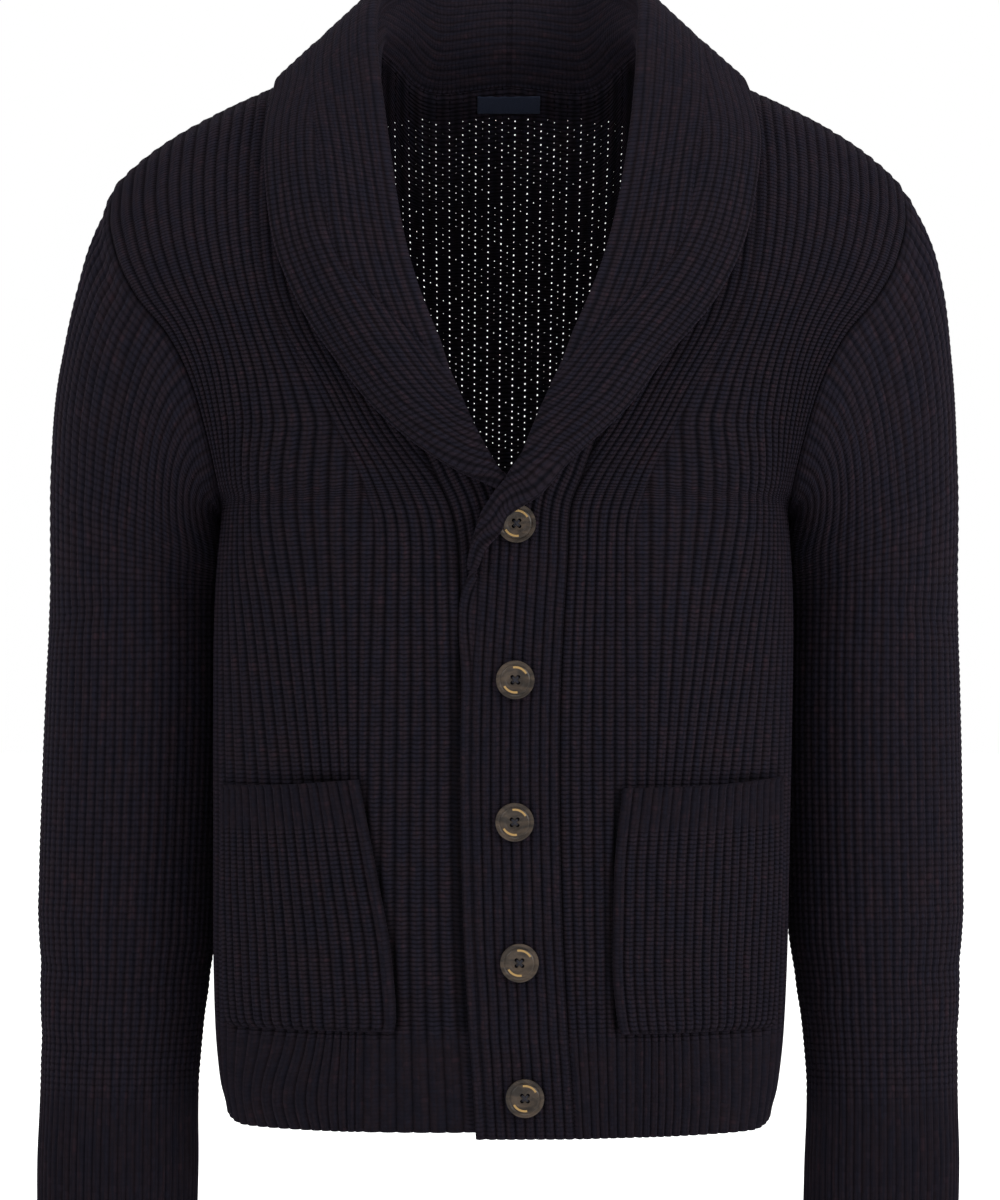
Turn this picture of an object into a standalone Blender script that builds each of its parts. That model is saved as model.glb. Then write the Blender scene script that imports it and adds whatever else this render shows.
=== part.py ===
"""Shawl collar cardigan, chunky rib knit, five buttons and two patch pockets.

Metres, +Z up, front towards -Y.  The origin is the middle of the neck opening,
level with the back neck seam.  The wearer's left is at +X and buttons over the
right.  Every knitted piece is a closed wall: a ribbed outer face, a plain inner
face and a rim, with a hair gap to its neighbour at each seam.
"""
import math
from collections import namedtuple

import bmesh
import bpy
import numpy as np

# ---------------------------------------------------------------- sizes
WALL = 0.0022            # plain knit, from rib valley to inner face
RIB = 0.0014             # height of a rib above its valleys
SEWN_RIB = 0.5           # share of that height left along a sewn shoulder
GAP = 0.0003             # clearance between two sewn pieces
LEAN = 0.010             # sideways hang of the garment, per metre of height
LEAN_HEIGHT = -0.20      # height where the lean is nil
ROUNDNESS = 2.3          # exponent of the torso's horizontal sections
SPLINE_STEPS = 8         # points drawn between two given points of a round curve

UNDERARM = 7             # torso row of the underarm
RIDGE = 16               # torso row of the shoulder seam

# One row for each level of the torso, hem to shoulder seam.
TORSO_COLUMNS = ("centre_z", "edge_x", "edge_z", "front", "back", "front_share", "back_share")
TORSO = (
    (-0.683, 0.1780, -0.683, 0.117, 0.101, 0.00, 0.00),
    (-0.655, 0.1830, -0.655, 0.121, 0.104, 0.00, 0.00),
    (-0.620, 0.1865, -0.620, 0.125, 0.107, 0.00, 0.00),
    (-0.560, 0.1885, -0.560, 0.127, 0.108, 0.00, 0.00),
    (-0.480, 0.1890, -0.480, 0.127, 0.106, 0.00, 0.00),
    (-0.400, 0.1895, -0.400, 0.127, 0.107, 0.00, 0.00),
    (-0.330, 0.1880, -0.330, 0.128, 0.110, 0.00, 0.00),
    (-0.285, 0.1860, -0.285, 0.128, 0.112, 0.00, 0.00),
    (-0.262, 0.1880, -0.268, 0.128, 0.114, 0.37, 0.40),
    (-0.236, 0.1930, -0.240, 0.127, 0.117, 0.55, 0.60),
    (-0.195, 0.2045, -0.200, 0.123, 0.119, 0.63, 0.68),
    (-0.155, 0.2206, -0.169, 0.115, 0.117, 0.61, 0.69),
    (-0.110, 0.2416, -0.144, 0.102, 0.109, 0.56, 0.65),
    (-0.065, 0.2555, -0.118, 0.083, 0.093, 0.48, 0.56),
    (-0.010, 0.2620, -0.092, 0.055, 0.066, 0.38, 0.40),
    (0.030, 0.2615, -0.078, 0.030, 0.036, 0.33, 0.33),
    (0.042, 0.2596, -0.069, 0.000, 0.000, 0.30, 0.30),
)

# Button band: the middle of the closed bands and where each front meets its own.
BAND_COLUMNS = ("z", "middle")
BAND = (
    (-0.683, 0.0170), (-0.660, 0.0155), (-0.611, 0.0115), (-0.562, 0.0080),
    (-0.513, 0.0063), (-0.452, 0.0045), (-0.406, 0.0045), (-0.342, 0.0073),
    (-0.297, 0.0100),
)
BAND_HALF = 0.0315
TUCK = 0.003             # the lower band's seam, hidden this far under the upper band
LAYER = 0.0026           # half the step between the upper and the lower band
LAYER_FADE = 0.075       # distance over which that step dies out

# Neckline seam and the inner ends of the vertical ribs, from the centre front,
# measured along the cloth, one row for each torso row from the underarm up.
NECK_COLUMNS = ("row", "left_seam", "right_seam", "rib_end")
NECK = (
    (7.0, 0.0400, 0.0290, 0.0880),
    (8.0, 0.0490, 0.0440, 0.0930),
    (9.0, 0.0580, 0.0565, 0.1030),
    (10.0, 0.0735, 0.0735, 0.1200),
    (11.0, 0.0840, 0.0840, 0.1350),
    (12.0, 0.0885, 0.0885, 0.1400),
    (14.0, 0.0905, 0.0905, 0.1400),
    (16.0, 0.0900, 0.0900, 0.1400),
)
BAND_RIBS = 5            # ribs that follow band and neckline on each front
SIDE_RIBS = 19           # upright ribs on each front
ENDED_RIBS = 5           # upright ribs that end at the neckline ribs
BACK_RIBS = 40
INSIDE_COLUMNS = 14      # points across the plain inner face of a front
SHAPED_ROWS = (2.5, 9.0)  # torso rows between which the ribs draw in under the arm
SIDE_POWER = 9           # how close to the side seam the ribs make up that width
BACK_NECK_ROW = 14.25    # torso row of the neck seam at the centre back
BACK_NECK_HALF = 0.0900
BACK_NECK_POWER = 6.0    # how flat the back neckline runs before it rises
BACK_BEND = 11.0         # torso row above which the back's rows bend to its neckline
BACK_NECK_LINES = 14     # rib lines of the back between its centre and the shoulder seam

# Collar, one row for each torso row of its seam: fold line, free edge, how far it is
# folded over and how many rib lines stand below the fold.
COLLAR_COLUMNS = ("row", "fold_x", "fold_y", "fold_z", "edge_x", "edge_z", "folded", "stand")
COLLAR_LEFT = (
    (5.8, -0.0243, -0.130, -0.330, -0.0243, -0.330, 0.0, 16.0),
    (6.1, -0.0215, -0.132, -0.319, -0.0195, -0.320, 0.5, 15.0),
    (6.4, -0.0185, -0.134, -0.305, -0.0090, -0.309, 1.0, 14.0),
    (6.7, -0.0115, -0.136, -0.284, -0.0020, -0.293, 1.0, 13.0),
    (7.0, 0.0010, -0.139, -0.266, 0.0120, -0.277, 1.0, 12.0),
    (7.6, 0.0120, -0.143, -0.249, 0.0330, -0.257, 1.0, 11.0),
    (8.5, 0.0205, -0.143, -0.228, 0.0520, -0.241, 1.0, 9.0),
    (9.3, 0.0285, -0.140, -0.209, 0.0745, -0.220, 1.0, 7.6),
    (10.0, 0.0425, -0.135, -0.179, 0.0998, -0.187, 1.0, 6.0),
    (11.0, 0.0600, -0.124, -0.138, 0.1295, -0.153, 1.0, 5.0),
    (12.0, 0.0705, -0.113, -0.104, 0.1510, -0.112, 1.0, 4.0),
    (13.0, 0.0785, -0.098, -0.062, 0.1610, -0.060, 1.0, 4.0),
    (14.0, 0.0840, -0.075, -0.010, 0.1620, -0.030, 1.0, 4.0),
    (15.0, 0.0862, -0.046, 0.030, 0.1580, -0.012, 1.0, 4.0),
    (16.0, 0.0850, -0.008, 0.058, 0.1540, -0.004, 1.0, 5.0),
)
COLLAR_RIGHT = (
    (6.7, -0.0330, -0.125, -0.290, -0.0330, -0.290, 0.0, 16.0),
    (7.0, -0.0170, -0.126, -0.276, -0.0160, -0.277, 0.0, 16.0),
    (7.3, 0.0000, -0.127, -0.266, 0.0000, -0.266, 0.0, 16.0),
    (7.6, 0.0085, -0.130, -0.257, 0.0110, -0.260, 0.5, 15.0),
    (8.0, 0.0120, -0.135, -0.249, 0.0270, -0.257, 1.0, 14.0),
    (8.5, 0.0190, -0.138, -0.236, 0.0480, -0.247, 1.0, 12.1),
    (9.3, 0.0300, -0.138, -0.213, 0.0800, -0.221, 1.0, 9.2),
    (10.0, 0.0430, -0.135, -0.184, 0.1060, -0.190, 1.0, 7.0),
    (11.0, 0.0600, -0.124, -0.143, 0.1300, -0.156, 1.0, 5.0),
    (12.0, 0.0705, -0.113, -0.107, 0.1490, -0.113, 1.0, 4.0),
    (13.0, 0.0780, -0.098, -0.064, 0.1560, -0.062, 1.0, 4.0),
    (14.0, 0.0835, -0.075, -0.012, 0.1570, -0.032, 1.0, 4.0),
    (15.0, 0.0858, -0.046, 0.029, 0.1550, -0.014, 1.0, 4.0),
    (16.0, 0.0850, -0.008, 0.058, 0.1540, -0.004, 1.0, 5.0),
)
# The same behind the shoulder seam, by distance of the seam from the centre back.
COLLAR_BACK_COLUMNS = ("seam", "fold_x", "fold_y", "fold_z", "edge_x", "edge_z", "stand")
COLLAR_BACK = (
    (0.000, 0.000, 0.0920, 0.083, 0.000, -0.020, 7.0),
    (0.028, 0.028, 0.0890, 0.082, 0.045, -0.021, 7.0),
    (0.055, 0.053, 0.0740, 0.078, 0.088, -0.022, 6.8),
    (0.078, 0.075, 0.0400, 0.071, 0.128, -0.018, 6.0),
    (0.090, 0.085, -0.0080, 0.058, 0.154, -0.004, 5.0),
)
COLLAR_BACK_LINES = (13, 12, 10, 8, 6, 4, 2, 0)  # rib lines of the back where it is drawn
BAND_RISE = 0.020        # upper end of the flat band's free edge above its seam
COLLAR_RIBS = 8
PLAIN_STAND_ROW = 9.0    # above this the stand is ribbed on the neck's side instead
COLLAR_LIFT = 0.0065     # collar's free edge above the cloth it lies on
OPEN_LIP = 0.0070        # reach of the band's edge where it starts to roll over
FOLD_HALF = 0.0050       # half the distance between stand and fall at the fold
FOLD_REACH = 0.0100      # how far below the fold the two part
FALL_BULGE = 0.0090      # how far a full fall stands off its straight line
FALL_FULL = 0.0600

# Sleeve rings below the armhole, top to cuff.
SLEEVE_COLUMNS = ("z", "centre_x", "centre_y", "half_x", "half_y")
SLEEVE = (
    (-0.340, 0.2438, 0.036, 0.0548, 0.066),
    (-0.400, 0.2440, 0.038, 0.0560, 0.062),
    (-0.470, 0.2455, 0.040, 0.0565, 0.057),
    (-0.540, 0.2475, 0.036, 0.0560, 0.052),
    (-0.605, 0.2492, 0.025, 0.0527, 0.048),
    (-0.674, 0.2510, 0.011, 0.0505, 0.042),
    (-0.712, 0.2512, 0.004, 0.0515, 0.039),
    (-0.748, 0.2512, 0.000, 0.0512, 0.038),
)
SLEEVE_START = 0.80      # pull of the rails as they leave the armhole
SLEEVE_HANG = 1.10       # pull of the rails as they start to hang
SLEEVE_DROOP = 0.35
SLEEVE_STEPS = (0.0, 0.14, 0.3, 0.48, 0.7)

# Patch pockets, by distance from the centre front along the cloth.
POCKET_COLUMNS = ("z", "left_near", "right_near", "left_far", "right_far")
POCKET = (
    (-0.618, 0.0780, 0.0680, 0.1980, 0.1960),
    (-0.612, 0.0735, 0.0665, 0.2030, 0.2010),
    (-0.570, 0.0690, 0.0700, 0.2070, 0.2060),
    (-0.520, 0.0710, 0.0800, 0.2090, 0.2080),
    (-0.466, 0.0770, 0.0920, 0.2080, 0.2080),
)
POCKET_RIBS = 16
POCKET_LIFT = RIB + GAP + 0.0004
POCKET_WALL = 0.0020

# Buttons on the upper band: height, distance from the band's middle, and how far the
# band bulges past its own straight line there (under the roll, and at the drawn-in hem).
BUTTON_COLUMNS = ("z", "across", "bulge")
BUTTONS = (
    (-0.293, -0.0025, 0.0019),
    (-0.393, 0.0030, 0.0002),
    (-0.484, 0.0030, 0.0001),
    (-0.574, 0.0035, 0.0002),
    (-0.661, 0.0010, 0.0014),
)
BUTTON_RADIUS = 0.0125
BUTTON_THICK = 0.0032
BUTTON_RIM = 0.0022
BUTTON_DISH = (0.0006, -0.0008)   # run and drop from the rim to the sunk middle
BUTTON_HOLE = 0.0011
BUTTON_HOLE_OUT = 0.0022

LABEL_SIZE = (0.044, 0.011)
LABEL_DROP = 0.0012      # label's top edge below the back neck seam
LABEL_THICK = 0.0010
LABEL_LIFT = WALL + GAP + 0.0003

COLOURS = {
    "knit": (0.0115, 0.0095, 0.0190), "button": (0.045, 0.034, 0.027),
    "label": (0.012, 0.022, 0.060),
}


# ---------------------------------------------------------------- curves
def column(table, names, name):
    """One named column of a table, as an array."""
    return np.array([row[names.index(name)] for row in table], float)


def smooth(x, xs, ys):
    """Value at x of a smooth curve through the points that does not overshoot."""
    x = min(max(x, xs[0]), xs[-1])
    step = np.diff(xs)
    rise = np.diff(ys) / step
    slope = np.zeros(len(xs))
    slope[0], slope[-1] = rise[0], rise[-1]
    for i in range(1, len(xs) - 1):
        if rise[i - 1] * rise[i] > 0:
            a = 2 * step[i] + step[i - 1]
            b = step[i] + 2 * step[i - 1]
            slope[i] = (a + b) / (a / rise[i - 1] + b / rise[i])
    i = min(max(int(np.searchsorted(xs, x)) - 1, 0), len(xs) - 2)
    t = (x - xs[i]) / step[i]
    return ((1 + 2 * t) * (1 - t) ** 2 * ys[i] + t * (1 - t) ** 2 * step[i] * slope[i]
            + t * t * (3 - 2 * t) * ys[i + 1] - t * t * (1 - t) * step[i] * slope[i + 1])


def read(table, names, key, x, name):
    """A column of a table, read between its rows."""
    return smooth(x, column(table, names, key), column(table, names, name))


def unit(v):
    """A vector of length one."""
    return v / max(np.linalg.norm(v), 1e-12)


def along(points, count=None, shares=None):
    """Points spread along a polyline by share of its length."""
    points = np.asarray(points)
    length = np.concatenate([[0], np.cumsum(np.linalg.norm(np.diff(points, axis=0), axis=1))])
    if shares is None:
        shares = np.linspace(0, 1, count)
    return np.array([np.interp(np.asarray(shares) * length[-1], length, points[:, c])
                     for c in range(3)]).T


def spline(points):
    """A round curve through the points, drawn fine."""
    p = np.asarray(points, float)
    p = np.vstack([2 * p[0] - p[1], p, 2 * p[-1] - p[-2]])
    fine = []
    for i in range(1, len(p) - 2):
        for t in np.linspace(0, 1, SPLINE_STEPS + 1)[:-1]:
            fine.append(0.5 * (2 * p[i] + (p[i + 1] - p[i - 1]) * t
                               + (2 * p[i - 1] - 5 * p[i] + 4 * p[i + 1] - p[i + 2]) * t * t
                               + (3 * p[i] - p[i - 1] - 3 * p[i + 1] + p[i + 2]) * t ** 3))
    fine.append(p[-2])
    return fine


def leaned(point):
    """The point with the garment's sideways hang."""
    return (point[0] + LEAN * (point[2] - LEAN_HEIGHT), point[1], point[2])


# ---------------------------------------------------------------- torso
TORSO_CACHE = {}


def torso_row(row, face):
    """One level of the torso, centre to side or armhole: points and lengths."""
    key = (round(row, 6), face)
    if key in TORSO_CACHE:
        return TORSO_CACHE[key]
    steps = np.arange(len(TORSO))
    value = {name: smooth(row, steps, column(TORSO, TORSO_COLUMNS, name)) for name in TORSO_COLUMNS}
    depth = value["front"] if face < 0 else value["back"]
    share = value["front_share"] if face < 0 else value["back_share"]
    end = math.acos(min(share ** (ROUNDNESS / 2), 1.0))
    power = 2 / ROUNDNESS
    wide = value["edge_x"] / math.sin(end) ** power
    t = end * np.linspace(0, 1, 61)
    x = wide * np.sin(t) ** power
    y = face * depth * np.maximum(np.cos(t), 0) ** power
    if share == 0:
        y[-1] = 0
    reach = np.clip(x / value["edge_x"], 0, 1)
    slope = 0.86 * reach ** 1.45 + 0.14 * reach ** 10
    z = value["centre_z"] + (value["edge_z"] - value["centre_z"]) * slope
    points = np.stack([x, y, z], axis=1)
    length = np.concatenate([[0], np.cumsum(np.linalg.norm(np.diff(points, axis=0), axis=1))])
    TORSO_CACHE[key] = (points, length)
    return TORSO_CACHE[key]


def torso(s, row, face):
    """The torso at distance s from its centre line, on a level."""
    points, length = torso_row(row, face)
    return np.array([np.interp(abs(s), length, points[:, c]) for c in range(3)])


def torso_normal(s, row, face):
    """Outward direction of the torso's cloth."""
    full = torso_row(row, face)[1][-1]
    d = 0.004
    s0, s1 = max(s - d, 0), min(s + d, full)
    r0, r1 = max(row - 0.05, 0), min(row + 0.05, RIDGE)
    share = s / full
    low, high = torso_row(r0, face)[1][-1], torso_row(r1, face)[1][-1]
    across = torso(s1, row, face) - torso(s0, row, face)
    if s < 0.7 * full:
        up = torso(s, r1, face) - torso(s, r0, face)
    else:
        up = torso(share * high, r1, face) - torso(share * low, r0, face)
    normal = unit(np.cross(across, up))
    if normal[1] * face < 0 and abs(normal[1]) > 0.05:
        normal = -normal
    if normal[0] < -0.3 or (s > 0.8 * full and normal[0] < 0):
        normal = -normal
    return normal


def width(row, face):
    """Cloth from the centre line to the side seam or the armhole."""
    return torso_row(row, face)[1][-1]


FULL = width(UNDERARM, -1)
FULL_BACK = width(UNDERARM, 1)


def spread(share, row, face):
    """Distance from the centre of a rib that stands at a share of the chest."""
    full = FULL if face < 0 else FULL_BACK
    wide = width(row, face)
    narrow = wide
    if row < SHAPED_ROWS[1]:
        low, high = SHAPED_ROWS
        ease = min(max((row - low) / (high - low), 0), 1)
        narrow = full + (width(high, face) - full) * ease * ease * (3 - 2 * ease)
    return share * full - (full - narrow) * share ** 2 + (wide - narrow) * share ** SIDE_POWER


def row_at(x, z, face):
    """Level and distance at which the torso's cloth passes a height."""
    low, high = 0.0, float(RIDGE)
    for _ in range(28):
        middle = (low + high) / 2
        points, length = torso_row(middle, face)
        here = np.interp(x, points[:, 0], points[:, 2])
        if here < z:
            low = middle
        else:
            high = middle
    points, length = torso_row(low, face)
    return low, float(np.interp(x, points[:, 0], length))


def band_middle(z):
    """Middle of the closed bands at a height."""
    return read(BAND, BAND_COLUMNS, "z", z, "middle")


def neck_seam(row, side):
    """Distance from the centre front of the seam of band or collar."""
    if row < UNDERARM:
        z = torso(0, row, -1)[2]
        middle = band_middle(z)
        seam = middle + BAND_HALF if side > 0 else BAND_HALF - TUCK - middle
        top = read(NECK, NECK_COLUMNS, "row", UNDERARM, "left_seam" if side > 0 else "right_seam")
        blend = min(max(row - (UNDERARM - 1), 0), 1) ** 2
        return seam * (1 - blend) + top * blend
    return read(NECK, NECK_COLUMNS, "row", row, "left_seam" if side > 0 else "right_seam")


def layer(s, row, side):
    """Step of a front out of or into the torso beside the closed bands."""
    near = max(1 - max(s - neck_seam(row, side), 0) / LAYER_FADE, 0)
    fade = min(max((UNDERARM + 2 - row) / 2, 0), 1)
    return side * LAYER * near * near * fade


# ---------------------------------------------------------------- meshes
def new_object(name, points, faces, colour, collection):
    """A closed mesh object, its faces turned out and a plain material on it."""
    mesh = bpy.data.meshes.new(name)
    mesh.from_pydata([leaned(p) for p in points], [], faces)
    work = bmesh.new()
    work.from_mesh(mesh)
    bmesh.ops.recalc_face_normals(work, faces=work.faces)
    if work.calc_volume(signed=True) < 0:
        bmesh.ops.reverse_faces(work, faces=work.faces)
    work.to_mesh(mesh)
    work.free()
    obj = bpy.data.objects.new(name, mesh)
    collection.objects.link(obj)
    mesh.materials.append(material(colour))
    return obj


def material(name):
    """A Principled material, made once for each colour."""
    if name in bpy.data.materials:
        return bpy.data.materials[name]
    made = bpy.data.materials.new(name)
    made.use_nodes = True
    shader = made.node_tree.nodes["Principled BSDF"]
    shader.inputs["Base Color"].default_value = (*COLOURS[name], 1)
    shader.inputs["Roughness"].default_value = 0.35 if name == "button" else 0.9
    made.diffuse_color = (*COLOURS[name], 1)
    return made


def zip_sides(points, a, b):
    """Triangles between two rows of points that start and end side by side."""
    def apart(m, n):
        return np.linalg.norm(np.subtract(points[m], points[n]))
    i = j = 0
    faces = []
    while i < len(a) - 1 or j < len(b) - 1:
        if j == len(b) - 1:
            forward = True
        elif i == len(a) - 1:
            forward = False
        else:
            forward = apart(a[i + 1], b[j]) <= apart(a[i], b[j + 1])
        if forward:
            faces.append((a[i], a[i + 1], b[j]))
            i += 1
        else:
            faces.append((a[i], b[j + 1], b[j]))
            j += 1
    return faces


def grid_faces(ids, crossed=()):
    """Faces of a grid of point numbers, where repeated numbers close up.

    Rows in crossed are split along the other diagonal.
    """
    faces = []
    for j, (low, high) in enumerate(zip(ids[:-1], ids[1:])):
        for k in range(len(low) - 1):
            corners = []
            ring = (low[k], low[k + 1], high[k + 1], high[k])
            for i in ring[1:] + ring[:1] if j in crossed else ring:
                if i not in corners:
                    corners.append(i)
            if len(corners) == 4:
                faces.append((corners[0], corners[1], corners[2]))
                faces.append((corners[0], corners[2], corners[3]))
            elif len(corners) == 3:
                faces.append(tuple(corners))
    return faces


def tidy(ids):
    """A row of point numbers without repeats."""
    return [i for n, i in enumerate(ids) if n == 0 or i != ids[n - 1]]


def panel(name, outer, outer_ids, inner, colour, collection, crossed=()):
    """A closed wall from a fine outer grid and a plain inner grid."""
    points = list(outer)
    start = len(points)
    rows, cols = len(inner), len(inner[0])
    inner_ids = [[start + r * cols + c for c in range(cols)] for r in range(rows)]
    for line in inner:
        points.extend(line)
    faces = grid_faces(outer_ids, crossed) + [f[::-1] for f in grid_faces(inner_ids, crossed)]
    edges = (
        (outer_ids[0], inner_ids[0]), (outer_ids[-1], inner_ids[-1]),
        ([r[0] for r in outer_ids], [r[0] for r in inner_ids]),
        ([r[-1] for r in outer_ids], [r[-1] for r in inner_ids]),
    )
    for a, b in edges:
        faces += zip_sides(points, tidy(a), tidy(b))
    return new_object(name, points, faces, colour, collection)


# ---------------------------------------------------------------- edges
def armhole_edge(row, face):
    """Armhole seam on a level: point, rim direction and way into the sleeve."""
    point = torso(width(row, face), row, face)
    normal = torso_normal(width(row, face), row, face)
    if row in (UNDERARM, RIDGE):
        normal = unit(normal * (1, 0, 1))
    centre = np.array([0.222, 0.0, -0.180])
    low, high = max(row - 0.1, UNDERARM), min(row + 0.1, RIDGE)
    run = torso(width(high, face), high, face) - torso(width(low, face), low, face)
    if row in (UNDERARM, RIDGE):
        run = np.array([0, face * (1 if row == UNDERARM else -1), 0.0])
    run = unit(run)
    radial = point - centre
    radial = unit(radial - run * np.dot(radial, run))
    rim = normal - run * np.dot(normal, run)
    rim = unit(unit(rim) + radial)
    into = unit(np.cross(run, rim))
    if into[0] < 0:
        into = -into
    return point, rim, into


def neck_edge(s, row, face, side, stand):
    """Seam of band or collar: point, rim direction and way into the collar."""
    point = torso(s, row, face)
    normal = torso_normal(s, row, face)
    if face < 0:
        point = point + normal * layer(s, row, side)
        low, high = max(row - 0.05, 0), min(row + 0.05, RIDGE)
        run = torso(neck_seam(high, side), high, face) - torso(neck_seam(low, side), low, face)
    else:
        low, high = max(s - 0.003, 0), min(s + 0.003, BACK_NECK_HALF)
        run = torso(low, back_neck_row(low), face) - torso(high, back_neck_row(high), face)
        if s == 0:
            run = np.array([-1.0, 0, 0])
    run = unit(run)
    away = unit(np.array([point[0], point[1] * 0.9, 0]))
    rim = unit(normal - run * np.dot(normal, run))
    rim = unit(rim + stand * unit(away - run * np.dot(away, run)))
    into = unit(np.cross(rim, run))
    toward = np.array([-1.0, 0, 0.2]) if face < 0 else np.array([0, -1.0, 1.0])
    if np.dot(into, toward) < 0:
        into = -into
    return point, rim, into


def back_neck_row(s):
    """Torso row of the back neckline at a distance from the centre back."""
    share = min(abs(s) / BACK_NECK_HALF, 1)
    return BACK_NECK_ROW + (RIDGE - BACK_NECK_ROW) * share ** BACK_NECK_POWER


def stand_share(row):
    """How far the collar stands up from the cloth at its seam."""
    return min(max((row - UNDERARM) / 5, 0), 1)


# ---------------------------------------------------------------- fronts
def rib_share(k):
    """Share of the chest at which upright rib line k of a front stands."""
    first = read(NECK, NECK_COLUMNS, "row", UNDERARM, "rib_end")
    pitch = (FULL - first) / SIDE_RIBS
    return (first + k * pitch) / FULL


def ended_row(k):
    """Torso row at which upright rib line k meets the neckline ribs."""
    low, high = float(UNDERARM), 12.0
    for _ in range(30):
        middle = (low + high) / 2
        end = read(NECK, NECK_COLUMNS, "row", middle, "rib_end")
        if spread(rib_share(k), middle, -1) < end:
            high = middle
        else:
            low = middle
    return (low + high) / 2


ENDED_ROWS = [float(UNDERARM)] + [ended_row(k) for k in range(1, ENDED_RIBS + 1)]
FRONT_ROWS = ([0.0, 1.0, 2.0, 3.0, 5.0, 5.8, 6.4] + ENDED_ROWS
              + [11.0, 12.0, 13.0, 14.0, 15.0, float(RIDGE)])
BACK_ROWS = [0.0, 1.0, 2.0, 3.0, 5.0, 6.0, 7.0, 7.7, 8.4, 9.2, 10.0, 11.0, 12.0, 13.0,
             14.0, 15.0, float(RIDGE)]
BACK_INSIDE_ROWS = [row for row in BACK_ROWS if row not in (1.0, 3.0, 6.0)]
LEFT_ROWS = sorted(FRONT_ROWS + [6.1, 6.7, 8.0])
RIGHT_ROWS = sorted(FRONT_ROWS + [7.3, 8.0, 8.26, 8.8, 9.35, 10.5])


def rib_height(row):
    """Height of the ribs on a torso row, pressed where the shoulder is sewn."""
    return RIB * (SEWN_RIB if row == RIDGE else 1)


def seam_shift(point, s, row, face, on_edge):
    """The point moved half a gap off the side, shoulder or armhole seam."""
    half = GAP / 2
    point = np.array(point, float)
    if row == RIDGE or (on_edge and row <= UNDERARM):
        point[1] = face * half
    if on_edge and row >= UNDERARM:
        point = point - armhole_edge(row, face)[2] * half
    return point


def front_point(s, row, side, depth, on_edge=False, on_neck=False):
    """A point of a front: depth is out of the cloth, negative inwards."""
    base = torso(s, row, -1)
    normal = torso_normal(s, row, -1)
    if row == RIDGE or (on_edge and row <= UNDERARM):
        normal = unit(normal * (1, 0, 1))
    base = base + normal * layer(s, row, side) * (0 if on_edge else 1)
    if on_edge and row >= UNDERARM:
        normal = armhole_edge(row, -1)[1]
    base = seam_shift(base, s, row, -1, on_edge)
    if on_neck:
        _, normal, into = neck_edge(s, row, -1, side, stand_share(row))
        if row == RIDGE:
            normal = unit(normal * (1, 0, 1))
        base = base - into * GAP / 2
    return base + normal * depth


def front_grid(side):
    """Outer points and point numbers of a front."""
    points, ids = [], []
    upright = 2 * SIDE_RIBS
    strip = 2 * BAND_RIBS
    for j, row in enumerate(FRONT_ROWS):
        ended = min(max(j - FRONT_ROWS.index(float(UNDERARM)), 0), ENDED_RIBS) * 2
        near = neck_seam(row, side)
        limit = spread(rib_share(ended / 2), row, -1)
        line = []
        for k in range(strip):
            s = near + (limit - near) * k / strip
            line.append(len(points))
            points.append(front_point(s, row, side, rib_height(row) * (k % 2), on_neck=k == 0))
        line += [len(points)] * (ended + 1)
        for k in range(ended, upright + 1):
            s = spread(rib_share(k / 2), row, -1)
            if k > ended:
                line.append(len(points))
            last = k == upright
            points.append(front_point(s, row, side, rib_height(row) * (k % 2), on_edge=last))
        ids.append(line)
    return points, ids


def front(side, name, collection):
    """One front, welt to shoulder seam."""
    points, ids = front_grid(side)
    if side < 0:
        points = [p * (-1, 1, 1) for p in points]
    inner = []
    count = INSIDE_COLUMNS
    for row in FRONT_ROWS:
        near, far = neck_seam(row, side), width(row, -1)
        line = []
        for k in range(count):
            s = near + (far - near) * k / (count - 1)
            p = front_point(s, row, side, -WALL, on_edge=k == count - 1, on_neck=k == 0)
            line.append(p if side > 0 else p * (-1, 1, 1))
        inner.append(line)
    return panel(name, points, ids, inner, "knit", collection)


# ---------------------------------------------------------------- back
def back_level(row, s):
    """Torso row of a back row at a distance, bent down to the back neckline."""
    if row <= BACK_BEND:
        return row
    return BACK_BEND + (row - BACK_BEND) * (back_neck_row(s) - BACK_BEND) / (RIDGE - BACK_BEND)


def neck_stop(line):
    """Distance and torso row of the back's neck seam at a rib line."""
    if line == BACK_NECK_LINES:
        return BACK_NECK_HALF, float(RIDGE)
    last = spread(BACK_NECK_LINES / BACK_RIBS, RIDGE, 1)
    s = spread(line / BACK_RIBS, RIDGE, 1) * BACK_NECK_HALF / last
    return s, back_neck_row(s)


def neck_line(line):
    """Point, rim direction and way into the collar at a rib line of the back neck."""
    if line % 2:
        before, after = neck_line(line - 1), neck_line(line + 1)
        return tuple((a + b) / 2 for a, b in zip(before, after))
    s, level = neck_stop(line)
    if line < BACK_NECK_LINES:
        return neck_edge(s, level, 1, 1, 1.0)
    point, rim, into = neck_edge(s, level, -1, 1, 1.0)
    return point, unit(rim * (1, 0, 1)), into


def back_base(line, row):
    """Point and outward direction of the back at a rib line, counted from its centre."""
    if row == RIDGE and line <= BACK_NECK_LINES:
        point, rim, into = neck_line(line)
        if line == BACK_NECK_LINES:
            point = point + (0, GAP / 2, 0)
        return point - into * GAP / 2, unit(rim)
    edge = line == BACK_RIBS
    share = line / BACK_RIBS
    level = back_level(row, spread(share, row, 1))
    s = width(level, 1) if edge else spread(share, level, 1)
    normal = torso_normal(s, level, 1)
    if level == RIDGE or (edge and level <= UNDERARM):
        normal = unit(normal * (1, 0, 1))
    if edge and level >= UNDERARM:
        normal = armhole_edge(level, 1)[1]
    return seam_shift(torso(s, level, 1), s, level, 1, edge), normal


def back_point(place, row, depth):
    """A point of the back; its rib lines are counted from the wearer's right."""
    line = place - BACK_RIBS
    base, normal = back_base(abs(line), row)
    point = base + normal * depth
    return point * (1 if line >= 0 else -1, 1, 1)


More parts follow.
